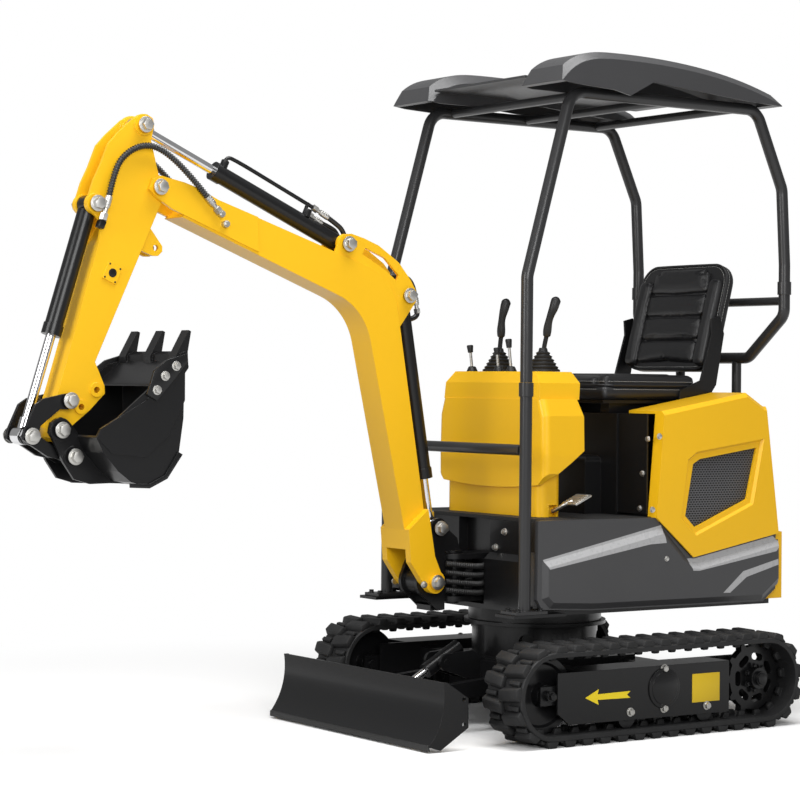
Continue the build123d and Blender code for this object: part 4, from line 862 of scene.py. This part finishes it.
class EXCAVATOR_OT_seat(bpy.types.Operator):
    """Upholsters the seat: stuffed cushion, channelled back with bolsters, piping and stitches"""

    bl_idname = "excavator.seat"
    bl_label = "Seat"

    def execute(self, context):
        self.cushion()
        self.back()
        return {"FINISHED"}

    def cushion(self):
        flat = Matrix.Identity(4)
        inner = SEAT_HALF - 0.070
        rear, low, high = SEAT_REAR + 0.012, SEAT_LOW + 0.022, SEAT_HIGH - 0.014
        blocks = [
            ((rear, -inner + 0.004, low), (SEAT_FRONT - 0.100, inner - 0.004, high), 0.018),
            ((SEAT_FRONT - 0.092, -inner + 0.004, low), (SEAT_FRONT - 0.012, inner - 0.004, high), 0.018),
        ]
        for side in (1, -1):
            near, far = sorted((side * (inner + 0.004), side * (SEAT_HALF - 0.012)))
            blocks.append(((rear, near, low), (SEAT_FRONT - 0.016, far, SEAT_HIGH - 0.006), 0.020))
        top = stuffed("seat_cushion_pads", blocks, flat, 0.012, "seat_cushion")
        bm = bmesh.new()
        add_box(bm, (SEAT_REAR, -SEAT_HALF, SEAT_LOW), (SEAT_FRONT, SEAT_HALF, SEAT_LOW + 0.048), 0.018)
        join_up("seat_cushion_base", bm, "house", "vinyl", 50)
        low, high = (SEAT_REAR + 0.004, -SEAT_HALF + 0.003), (SEAT_FRONT - 0.003, SEAT_HALF - 0.003)
        ring = ring_route(low, high, 0.0, 0.05, SEAT_LOW + 0.050, flat)
        tube_piece("cushion_piping", [ring], 0.0042, "house", "vinyl", 8)
        bm = bmesh.new()
        for level, inset in ((0.036, -0.0012), (0.063, 0.004)):
            add_stitches(bm, ring_route(low, high, inset, 0.05, SEAT_LOW + level, flat), 0.0011)
        for y in (-inner, inner):
            ends = [Vector((x, y, SEAT_HIGH)) for x in (SEAT_REAR + 0.03, SEAT_FRONT - 0.03)]
            add_stitches(bm, snapped(top, evenly(ends, 0.01), 0.001), 0.0011)
        join_up("cushion_stitches", bm, "house", "thread", 60)

    def back(self):
        x, z = BACK_FOOT
        lean = Matrix.Translation((x, 0, z)) @ Matrix.Rotation(math.radians(-BACK_TILT), 4, "Y")
        inner = SEAT_HALF - 0.078
        top = BACK_HEIGHT - 0.012
        blocks = []
        pad = (BACK_HEIGHT - 0.050) / BACK_CHANNELS
        for row in range(BACK_CHANNELS):
            low = 0.022 + row * pad
            near, far = (-0.052, -inner + 0.005, low + 0.004), (-0.016, inner - 0.005, low + pad - 0.004)
            blocks.append((near, far, 0.012))
        for side in (1, -1):
            near, far = sorted((side * (inner + 0.004), side * (SEAT_HALF - 0.014)))
            blocks.append(((-0.058, near, 0.014), (-0.008, far, BACK_HEIGHT - 0.062), 0.020))
        blocks.append(((-0.058, -inner + 0.03, BACK_HEIGHT - 0.054), (-0.018, inner - 0.03, top), 0.014))
        stuffed("seat_back_pads", blocks, lean, 0.011, "seat_back")
        self.back_shell(lean)
        low, high = (0.004, -SEAT_HALF + 0.004), (BACK_HEIGHT - 0.004, SEAT_HALF - 0.004)
        upright = lean @ Matrix.Rotation(math.radians(-90), 4, "Y")
        ring = ring_route(low, high, 0.0, 0.074, 0.036, upright)
        tube_piece("back_piping", [ring], 0.004, "house", "vinyl", 8)
        bm = bmesh.new()
        for inset, level in ((0.008, 0.0345), (-0.001, 0.050)):
            add_stitches(bm, ring_route(low, high, inset, 0.07, level, upright), 0.0010)
        join_up("back_stitches", bm, "house", "thread", 60)

    def back_shell(self, lean):
        """Rear of the back, with large corners and soft rims."""
        bm = bmesh.new()
        made = bmesh.ops.create_cube(bm, size=1.0)
        scale = Matrix.Diagonal((0.042, SEAT_HALF * 2 - 0.006, BACK_HEIGHT - 0.004, 1.0))
        move = Matrix.Translation((-0.056, 0, BACK_HEIGHT / 2))
        bmesh.ops.transform(bm, verts=made["verts"], matrix=move @ scale)
        upright = [e for e in bm.edges if abs(e.verts[0].co.x - e.verts[1].co.x) > 0.01]
        rounded(bm, upright, 0.075, 8)
        rims = [e for e in bm.edges if abs(e.verts[0].co.x - e.verts[1].co.x) < 1e-6 and e.is_manifold
                and e.calc_face_angle(0) > 1.0]
        rounded(bm, rims, 0.014, 4)
        bmesh.ops.transform(bm, verts=bm.verts, matrix=lean)
        join_up("seat_back_shell", bm, "house", "vinyl", 50)


# Controls

GRIP_SIDES = {1: 0.062, -1: 0.030}
STAND_X, STAND_Y, STAND_TOP = 0.070, 0.122, 1.189
LEVER_LEAN = Vector((0.12, 0, 1))
# Forward, share of the stick's lean, and height over the stand
STEM_LINE = ((0, 0, 0.060), (0, 0.15, 0.100), (0, 0.35, 0.130))
GRIP_LINE = ((0, 0.30, 0.118), (0.004, 0.45, 0.150), (0.006, 0.70, 0.185), (0.002, 0.95, 0.215),
             (-0.004, 0.98, 0.238), (-0.010, 1.0, 0.250))


class EXCAVATOR_OT_controls(bpy.types.Operator):
    """Makes the two joysticks in their ribbed boots, the short levers and the travel pedal"""

    bl_idname = "excavator.controls"
    bl_label = "Controls"

    def execute(self, context):
        boots = bmesh.new()
        for side in (1, -1):
            self.boot(boots, Vector((STAND_X, side * STAND_Y, STAND_TOP)))
        boot_piece = join_up("joystick_boots", boots, "house", "grip", 50)
        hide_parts("joysticks")
        for side, lean in GRIP_SIDES.items():
            self.grip(side, lean)
        self.small_levers()
        self.pedal()
        return {"FINISHED"}

    def boot(self, bm, foot):
        """Bellows turned from its own folded profile."""
        folds = [(0.058, 0.0), (0.058, 0.006)]
        for fold in range(5):
            reach = 0.050 - 0.007 * fold
            level = 0.010 + 0.012 * fold
            folds += [(reach, level), (reach + 0.003, level + 0.005), (reach - 0.006, level + 0.010)]
        folds += [(0.015, 0.074), (0.013, 0.080), (0.0, 0.080)]
        verts = [bm.verts.new((r, 0, h)) for r, h in folds]
        edges = [bm.edges.new(pair) for pair in zip(verts, verts[1:])]
        bmesh.ops.spin(bm, geom=verts + edges, cent=(0, 0, 0), axis=UP, angle=math.tau, steps=32,
                       use_merge=True, use_duplicate=False)
        bmesh.ops.remove_doubles(bm, verts=self.fresh(bm), dist=1e-5)
        bmesh.ops.translate(bm, verts=self.fresh(bm), vec=foot)

    def fresh(self, bm):
        """Points of a boot that hasn't been put on its stand yet."""
        return [v for v in bm.verts if abs(v.co.z) < 0.2]

    def grip(self, side, lean):
        foot, name = Vector((STAND_X, side * STAND_Y, STAND_TOP)), SIDE_NAMES[side]
        stem, route = ([foot + Vector((x, lean * share, up)) for x, share, up in line]
                       for line in (STEM_LINE, GRIP_LINE))
        tube_piece(f"joystick_stem_{name}", [stem], 0.008, "house", "black")
        tube_piece(f"joystick_grip_{name}", [route], 0.015, "house", "grip", 14, 0.004, self.grip_radius)

    def grip_radius(self, number, last):
        """Slim at the stem, waved for the fingers, thick and domed at the top."""
        share = number / last
        swell = 0.82 + 0.16 * math.sin(share * 9.5) * (1 - share) + 0.34 * share ** 2
        cap = min(1.0, (last - number + 0.4) / 3.0) ** 0.5
        return swell * cap * (0.75 if number == 0 else 1.0)

    def small_levers(self):
        levers = ((0.150, 0.050, 0.085, 0.030), (0.140, -0.185, 0.070, 0.026), (0.150, -0.020, 0.062, 0.024))
        shafts, knobs, boots = bmesh.new(), bmesh.new(), bmesh.new()
        for x, y, tall, knob in levers:
            foot = Vector((x, y, STAND_TOP - 0.001))
            add_disc(boots, facing(UP, foot), 0.020, 0.018, 24, 0.004, top=0.012)
            add_disc(shafts, facing(LEVER_LEAN, foot), 0.005, tall, 12)
            tip = foot + LEVER_LEAN.normalized() * (tall - 0.004)
            add_disc(knobs, facing(LEVER_LEAN, tip), 0.009, knob, 16, 0.004, top=0.012)
        join_up("short_lever_boots", boots, "house", "grip", 40)
        join_up("short_lever_shafts", shafts, "house", "zinc", 40)
        join_up("short_lever_knobs", knobs, "house", "grip", 40)

    def pedal(self):
        shaft = [(0.135, 0.262, 0.725), (0.132, 0.296, 0.738), (0.124, 0.318, 0.752), (0.104, 0.330, 0.760)]
        tube_piece("pedal_shaft", [shaft], 0.007, "house", "zinc", 12)
        bm = bmesh.new()
        turn = Matrix.Translation((0.092, 0.330, 0.764)) @ Matrix.Rotation(math.radians(24), 4, "Y")
        add_box(bm, (-0.040, -0.036, -0.004), (0.034, 0.040, 0.004), 0.003, turn)
        for rib in range(5):
            x = -0.032 + rib * 0.014
            add_box(bm, (x, -0.030, 0.003), (x + 0.006, 0.034, 0.0065), 0.001, turn)
        join_up("pedal_pad", bm, "house", "zinc", 35)


# House trim

COVER_FACE, BULKHEAD_FACE, SKIRT_FACE = 0.430, -0.171, 0.431
GRILLE = (
    (-0.343, 0.882), (-0.373, 0.898), (-0.634, 0.935), (-0.589, 0.758), (-0.353, 0.667), (-0.309, 0.707),
)
GRILLE_LOW, GRILLE_HIGH = 0.4080, 0.4115


class EXCAVATOR_OT_covers(bpy.types.Operator):
    """Bolts the covers, the bulkhead and the posts, and puts the perforated sheet in place of the grilles,
    which it hides
    """

    bl_idname = "excavator.covers"
    bl_label = "Cover trim"

    def execute(self, context):
        bm = bmesh.new()
        add_plate(bm, GRILLE, GRILLE_LOW, GRILLE_HIGH, 0.0006)
        sheet = join_up("grille_sheets", bm, "house", "mesh", 30, mirrored=True)
        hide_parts("grilles")
        cover = [(x, COVER_FACE, z) for x, z in ((-0.183, 0.976), (-0.155, 0.732))]
        bulkhead = [(BULKHEAD_FACE, y, z) for y, z in ((0.387, 0.966), (0.348, 0.732), (0.360, 0.850))]
        skirt = [(-0.219, SKIRT_FACE, 0.567)]
        bolt_piece("cover_bolts", "house", "zinc", 35, (
            (add_dome_bolt, 0.0085, LEFTWARD, cover), (add_dome_bolt, 0.0085, FORWARD, bulkhead),
            (add_dome_bolt, 0.0075, LEFTWARD, skirt)))
        flange = [(0.350 + dx, 0.390 + dy, 0.4155) for dx in (-0.046, 0.046) for dy in (-0.026, 0.026)]
        bolt_piece("post_flange_bolts", "house", "black", 35, [(add_hex_bolt, 0.014, UP, flange)])
        front = ((0.262, 0.170, 0.655), (0.262, 0.215, 0.470), (0.262, 0.120, 0.600))
        bolt_piece("house_front_bolts", "house", "zinc", 35, [(add_hex_bolt, 0.016, FORWARD, front)], False)
        return {"FINISHED"}


# Undercarriage trim

FRAME_PLATE_FACE = 0.560
HUB_BOLTS, HUB_CIRCLE = 7, 0.042
ROLLER_BOLTS = ((0.045, 0.090), (-0.285, 0.089), (-0.098, 0.222), (-0.098, 0.092))
ARROW = (
    (0.233, 0.147), (0.178, 0.172), (0.182, 0.156), (0.045, 0.158), (0.060, 0.147), (0.045, 0.136),
    (0.182, 0.138), (0.178, 0.122),
)


class EXCAVATOR_OT_undercarriage(bpy.types.Operator):
    """Adds the travel arrow, inspection cover, blank plate, roller bolts and hub bolts"""

    bl_idname = "excavator.undercarriage"
    bl_label = "Undercarriage trim"

    def execute(self, context):
        face = FRAME_PLATE_FACE
        bm = bmesh.new()
        add_plate(bm, ARROW, face - 0.0005, face + 0.0012)
        join_up("travel_arrows", bm, "undercarriage", "sign", 30, mirrored=True)
        bm = bmesh.new()
        for out, radius, height in ((-0.001, 0.066, 0.006), (0.004, 0.054, 0.004)):
            add_disc(bm, facing(LEFTWARD, (-0.098, face + out, 0.158)), radius, height, 48, 0.002)
        join_up("frame_discs", bm, "undercarriage", "black", 30, mirrored=True)
        bm = bmesh.new()
        add_box(bm, (-0.342, face - 0.0005, 0.102), (-0.221, face + 0.0015, 0.196), 0.0006)
        join_up("blank_plates", bm, "undercarriage", "plate", 30, mirrored=True)
        rollers = [(x, face, z) for x, z in ROLLER_BOLTS]
        bolt_piece("roller_bolts", "undercarriage", "zinc", 30, [(add_hex_bolt, 0.019, LEFTWARD, rollers)])
        bm = bmesh.new()
        for turn in range(HUB_BOLTS):
            a = math.tau * (turn + 0.5) / HUB_BOLTS
            x, z = SPROCKET_X + HUB_CIRCLE * math.cos(a), AXLE_HEIGHT + HUB_CIRCLE * math.sin(a)
            add_hex_bolt(bm, (x, TRACK_CENTRE + 0.0245, z), LEFTWARD, 0.013)
        cap = facing(LEFTWARD, (SPROCKET_X, TRACK_CENTRE + 0.055, AXLE_HEIGHT))
        add_disc(bm, cap, 0.020, 0.006, 32, 0.002)
        add_hex_bolt(bm, (IDLER_X, TRACK_CENTRE + 0.064, AXLE_HEIGHT), LEFTWARD, 0.022)
        join_up("hub_bolts", bm, "undercarriage", "black", 30, mirrored=True)
        return {"FINISHED"}


# Tracks

WHEELBASE = IDLER_X - SPROCKET_X
PITCH_RADIUS = 0.133
LINKS = 37
LINK_PITCH = 0.072
BELT_IN, BELT_OUT, LUG_OUT, GUIDE_IN = -0.009, 0.007, 0.0268, -0.026
BELT_HALF = 0.0895


def belt_frame(travel, y):
    """Matrix on the belt's pitch line: X along the belt, Z outwards."""
    arc = math.pi * PITCH_RADIUS
    travel %= 2 * (WHEELBASE + arc)
    if travel < WHEELBASE:
        x, turn = SPROCKET_X + travel, 0.0
    elif travel < WHEELBASE + arc:
        x, turn = IDLER_X, (travel - WHEELBASE) / PITCH_RADIUS
    elif travel < 2 * WHEELBASE + arc:
        x, turn = IDLER_X - (travel - WHEELBASE - arc), math.pi
    else:
        x, turn = SPROCKET_X, math.pi + (travel - 2 * WHEELBASE - arc) / PITCH_RADIUS
    centre = Matrix.Translation((x, y, AXLE_HEIGHT))
    return centre @ Matrix.Rotation(turn, 4, "Y") @ Matrix.Translation((0, 0, PITCH_RADIUS))


def add_lug(bm, matrix, width, low, high, foot, tip, skew=0.0, bevel=0.0045):
    """Tapered rubber block with rounded edges, its outer end set back by a skew."""
    made = bmesh.ops.create_cube(bm, size=1.0)
    for vert in made["verts"]:
        length = tip if vert.co.z > 0 else foot
        lean = skew * (vert.co.y + 0.5)
        vert.co = (vert.co.x * length + lean, vert.co.y * width, high if vert.co.z > 0 else low)
    made = rounded(bm, edges_of(made["verts"]), bevel)
    bmesh.ops.transform(bm, verts=made["verts"], matrix=matrix)


class EXCAVATOR_OT_tracks(bpy.types.Operator):
    """Moulds the rubber tracks: a belt round both wheels with two staggered rows of rounded lugs"""

    bl_idname = "excavator.tracks"
    bl_label = "Rubber tracks"

    def execute(self, context):
        for side, node in ((1, "track_left"), (-1, "track_right")):
            bm = bmesh.new()
            self.belt(bm, side * TRACK_CENTRE)
            for link in range(LINKS):
                for row, phase in ((-1, 0.0), (1, 0.5)):
                    matrix = belt_frame((link + phase) * LINK_PITCH, side * TRACK_CENTRE + row * 0.0425)
                    if row < 0:
                        matrix = matrix @ Matrix.Scale(-1, 4, LEFTWARD)
                    add_lug(bm, matrix, 0.093, BELT_OUT - 0.002, LUG_OUT, 0.050, 0.033, -0.010)
                    near = matrix @ Matrix.Translation((0.036, 0.012, 0))
                    add_lug(bm, near, 0.050, BELT_OUT - 0.002, BELT_OUT + 0.007, 0.020, 0.012, 0.0, 0.002)
                for row in (-1, 1):
                    matrix = belt_frame((link + 0.25) * LINK_PITCH, side * TRACK_CENTRE + row * 0.0255)
                    add_lug(bm, matrix, 0.015, GUIDE_IN, BELT_IN + 0.002, 0.022, 0.034, 0.0, 0.003)
            piece = join_up(node + "_tread", bm, "undercarriage", "track", 35)
            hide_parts(node)
        return {"FINISHED"}

    def belt(self, bm, y):
        """Carries one cross-section along both straight runs and round both wheels."""
        low, high = PITCH_RADIUS + BELT_IN, PITCH_RADIUS + BELT_OUT
        section = ((-BELT_HALF, low), (BELT_HALF, low), (BELT_HALF, high - 0.003), (BELT_HALF - 0.004, high),
                   (0.004 - BELT_HALF, high), (-BELT_HALF, high - 0.003))
        verts = [bm.verts.new((SPROCKET_X, y + across, AXLE_HEIGHT + up)) for across, up in section]
        geom = [bm.edges.new(pair) for pair in zip(verts, verts[1:] + verts[:1])]
        for centre, run in ((IDLER_X, WHEELBASE), (SPROCKET_X, -WHEELBASE)):
            made = bmesh.ops.extrude_edge_only(bm, edges=geom)["geom"]
            ends = only(bmesh.types.BMVert, made)
            bmesh.ops.translate(bm, verts=ends, vec=(run, 0, 0))
            geom = [e for e in only(bmesh.types.BMEdge, made) if all(v in ends for v in e.verts)]
            made = bmesh.ops.spin(bm, geom=geom, cent=(centre, 0, AXLE_HEIGHT), axis=LEFTWARD, angle=math.pi,
                                  steps=28, use_merge=False, use_duplicate=False)["geom_last"]
            geom = only(bmesh.types.BMEdge, made)
        bmesh.ops.remove_doubles(bm, verts=bm.verts, dist=1e-4)


# Bucket and blade

BUCKET_SIDE, ARM_SIDE = 0.191, 0.0495
CUTTER_THICK = 0.010
TOOTH_SPACING = 0.157
SIDE_CUTTER = (
    (0.236, 0.052), (0.300, 0.010), (0.352, 0.012), (0.420, 0.040), (0.404, 0.062), (0.340, 0.074),
    (0.250, 0.088),
)
WEAR_BAND = (
    (0.030, 0.225), (0.078, 0.268), (0.136, 0.282), (0.215, 0.256), (0.222, 0.272), (0.136, 0.296),
    (0.072, 0.280), (0.022, 0.236),
)


class EXCAVATOR_OT_tools(bpy.types.Operator):
    """Finishes bucket, blade and arm with cutters, wear bands, bolts, a worn edge and a small flange"""

    bl_idname = "excavator.tools"
    bl_label = "Bucket and blade"

    def execute(self, context):
        self.side_cutters()
        self.tooth_bolts()
        self.cutting_edge()
        self.arm_plate()
        return {"FINISHED"}

    def local_plate(self, bm, outline, out, bevel):
        """Plate on the bucket's side, from its outline in the bucket's own frame."""
        corners = [on_bucket(u, v).xz for u, v in outline]
        add_plate(bm, corners, BUCKET_SIDE + out[0], BUCKET_SIDE + out[1], bevel)

    def side_cutters(self):
        bm = bmesh.new()
        self.local_plate(bm, SIDE_CUTTER, (-0.001, CUTTER_THICK), 0.0015)
        self.local_plate(bm, WEAR_BAND, (-0.002, 0.004), 0.001)
        join_up("bucket_side_cutters", bm, "bucket", "black", 30, mirrored=True)
        places = run(on_bucket, BUCKET_SIDE + CUTTER_THICK, (0.270, 0.062), (0.318, 0.046), (0.366, 0.046))
        bolt_piece("cutter_bolts", "bucket", "zinc", 30, [(add_hex_bolt, 0.019, LEFTWARD, places)])

    def tooth_bolts(self):
        bm = bmesh.new()
        out = on_bucket(0.020, 0.034) - on_bucket(0, 0)
        for tooth in (-1, 0, 1):
            for dy in (-0.012, 0.012):
                place = on_bucket(0.405, 0.078, tooth * TOOTH_SPACING + dy)
                add_hex_bolt(bm, place, out, 0.013, washer=False)
        join_up("tooth_bolts", bm, "bucket", "black", 30)

    def cutting_edge(self):
        bm = bmesh.new()
        add_box(bm, (0.7700, -0.462, 0.0065), (0.7790, 0.462, 0.026), 0.002)
        join_up("blade_cutting_edge", bm, "blade", "edge", 30)

    def arm_plate(self):
        """Small flange with its four screws on the arm's side."""
        ring, screws = bmesh.new(), bmesh.new()
        add_disc(ring, facing(LEFTWARD, on_arm(0.307, 0.031, ARM_SIDE)), 0.0135, 0.0016, 32, 0.0005)
        for place in run(on_arm, ARM_SIDE, (0.285, 0.012), (0.285, 0.050), (0.329, 0.012), (0.329, 0.050)):
            add_dome_bolt(screws, place, LEFTWARD, 0.0026)
        join_up("arm_flange_bores", ring, "arm", "black", 30, mirrored=True)
        join_up("arm_flange_screws", screws, "arm", "black", 30, mirrored=True)


# Stage, light and camera

CAMERA_PLACE = (5.0835, 6.4595, 1.1396)
VIEW_AZIMUTH, VIEW_RISE, VIEW_ROLL = -124.73, 0.021, 0.6
LENS, SHIFT_X, SHIFT_Y = 107.19, 0.0091, -0.0819


def aim_camera():
    """Camera on the photograph's line of sight, from the machine's front left."""
    turn = math.radians(VIEW_AZIMUTH)
    forward = Vector((math.cos(turn), math.sin(turn), VIEW_RISE)).normalized()
    right = forward.cross(Vector(UP)).normalized()
    up = right.cross(forward)
    roll = math.radians(VIEW_ROLL)
    across = right * math.cos(roll) + up * math.sin(roll)
    upward = across.cross(forward)
    rotation = Matrix((across, upward, -forward)).transposed().to_4x4()
    camera = bpy.data.cameras.new("photo_camera")
    camera.sensor_width = 36.0
    camera.lens = LENS
    camera.shift_x, camera.shift_y = SHIFT_X, SHIFT_Y
    camera.clip_end = 60.0
    holder = placed("photo_camera", camera)
    holder.matrix_world = Matrix.Translation(CAMERA_PLACE) @ rotation
    bpy.context.scene.camera = holder


def add_light(name, place, target, size, power):
    lamp = bpy.data.lights.new(name, "AREA")
    lamp.shape = "RECTANGLE"
    lamp.size, lamp.size_y = size
    lamp.energy = power
    holder = placed(name, lamp)
    aim = (Vector(target) - Vector(place)).to_track_quat("-Z", "Y").to_matrix().to_4x4()
    holder.matrix_world = Matrix.Translation(place) @ aim
    return holder


def floor_material():
    """Pale floor that keeps the machine's shadow and reads as plain white farther out."""
    f = Finish("studio_floor", roughness=0.9)
    f.set("Specular IOR Level", 0.0)
    x, y = f.axis(0) - 0.45, f.axis(1)
    reach = (x * x + y * y).math("SQRT")
    seen = f.node("ShaderNodeLightPath", output="Is Camera Ray")
    glossy = f.node("ShaderNodeLightPath", output="Is Glossy Ray")
    far = reach.above(2.1, 0.8) * seen.math("MAXIMUM", glossy)
    f.set("Base Color", f.blend(seen, (0.42, 0.42, 0.42, 1.0), (0.97, 0.97, 0.97, 1.0)))
    white = f.node("ShaderNodeEmission", None, {"Color": WHITE, "Strength": 1.0})
    diffuse = Value(f, f.shader.outputs[0])
    mixed = f.node("ShaderNodeMixShader", None, {0: far, 1: diffuse, 2: white})
    f.tree.links.new(mixed.socket, f.tree.nodes["Material Output"].inputs["Surface"])
    return f.material


WORLD_LIGHT = 0.30


def white_world():
    """White to the camera and to transmission rays, and a softer sky as a light."""
    world = bpy.data.worlds.new("studio")
    bpy.context.scene.world = world
    world.use_nodes = True
    sky = Graph(world.node_tree)
    background = sky.tree.nodes["Background"]
    camera = sky.node("ShaderNodeLightPath", output="Is Camera Ray")
    through = sky.node("ShaderNodeLightPath", output="Is Transmission Ray")
    inputs = {"Value": camera.math("MAXIMUM", through), "To Min": WORLD_LIGHT, "To Max": 1.0}
    sky.feed(background.inputs["Color"], WHITE)
    sky.feed(background.inputs["Strength"], sky.node("ShaderNodeMapRange", None, inputs))


class EXCAVATOR_OT_stage(bpy.types.Operator):
    """Sets the white studio: floor, lights and camera"""

    bl_idname = "excavator.stage"
    bl_label = "Set the stage"

    def execute(self, context):
        bm = bmesh.new()
        bmesh.ops.create_circle(bm, cap_ends=True, segments=96, radius=14.0)
        floor = placed("studio_floor", mesh_from("studio_floor", bm))
        floor.data.materials.append(floor_material())
        lights = [
            add_light("top_panel", (0.6, 1.0, 5.6), (0.2, 0, 0.6), (4.0, 3.2), 300),
            add_light("side_panel", (3.2, 5.4, 2.9), (0.2, 0, 0.9), (3.0, 2.2), 165),
            add_light("front_panel", (6.2, 0.6, 2.4), (0.2, 0, 0.9), (2.2, 2.6), 125),
        ]
        white_world()
        aim_camera()
        context.scene.view_settings.view_transform = "Standard"
        return {"FINISHED"}


class EXCAVATOR_PT_panel(bpy.types.Panel):
    """Sidebar with the machine's finishes"""

    bl_idname = "EXCAVATOR_PT_panel"
    bl_label = "Mini excavator"
    bl_space_type = "VIEW_3D"
    bl_region_type = "UI"
    bl_category = "Excavator"

    def draw(self, context):
        column = self.layout.column()
        for group in (context.scene.excavator_colours, context.scene.excavator_trim):
            for name in group.bl_rna.properties.keys():
                if name not in ("rna_type", "name"):
                    column.prop(group, name)
        for operator in OPERATORS:
            column.operator(operator.bl_idname)


OPERATORS = (
    EXCAVATOR_OT_paint, EXCAVATOR_OT_pins, EXCAVATOR_OT_hoses, EXCAVATOR_OT_seat, EXCAVATOR_OT_controls,
    EXCAVATOR_OT_covers, EXCAVATOR_OT_undercarriage, EXCAVATOR_OT_tracks, EXCAVATOR_OT_tools,
    EXCAVATOR_OT_stage,
)
GROUPS = (ExcavatorColours, ExcavatorTrim)


def register():
    for item in GROUPS + OPERATORS + (EXCAVATOR_PT_panel,):
        bpy.utils.register_class(item)
    bpy.types.Scene.excavator_colours = PointerProperty(type=ExcavatorColours)
    bpy.types.Scene.excavator_trim = PointerProperty(type=ExcavatorTrim)


def unregister():
    del bpy.types.Scene.excavator_trim
    del bpy.types.Scene.excavator_colours
    for item in reversed(GROUPS + OPERATORS + (EXCAVATOR_PT_panel,)):
        bpy.utils.unregister_class(item)


def call(operator):
    """Calls one operator by its name and stops if it didn't finish."""
    group, name = operator.bl_idname.split(".")
    if getattr(getattr(bpy.ops, group), name)() != {"FINISHED"}:
        raise RuntimeError(f"{operator.bl_idname} did not finish")


def main():
    register()
    for operator in OPERATORS:
        call(operator)


if __name__ == "__main__":
    main()
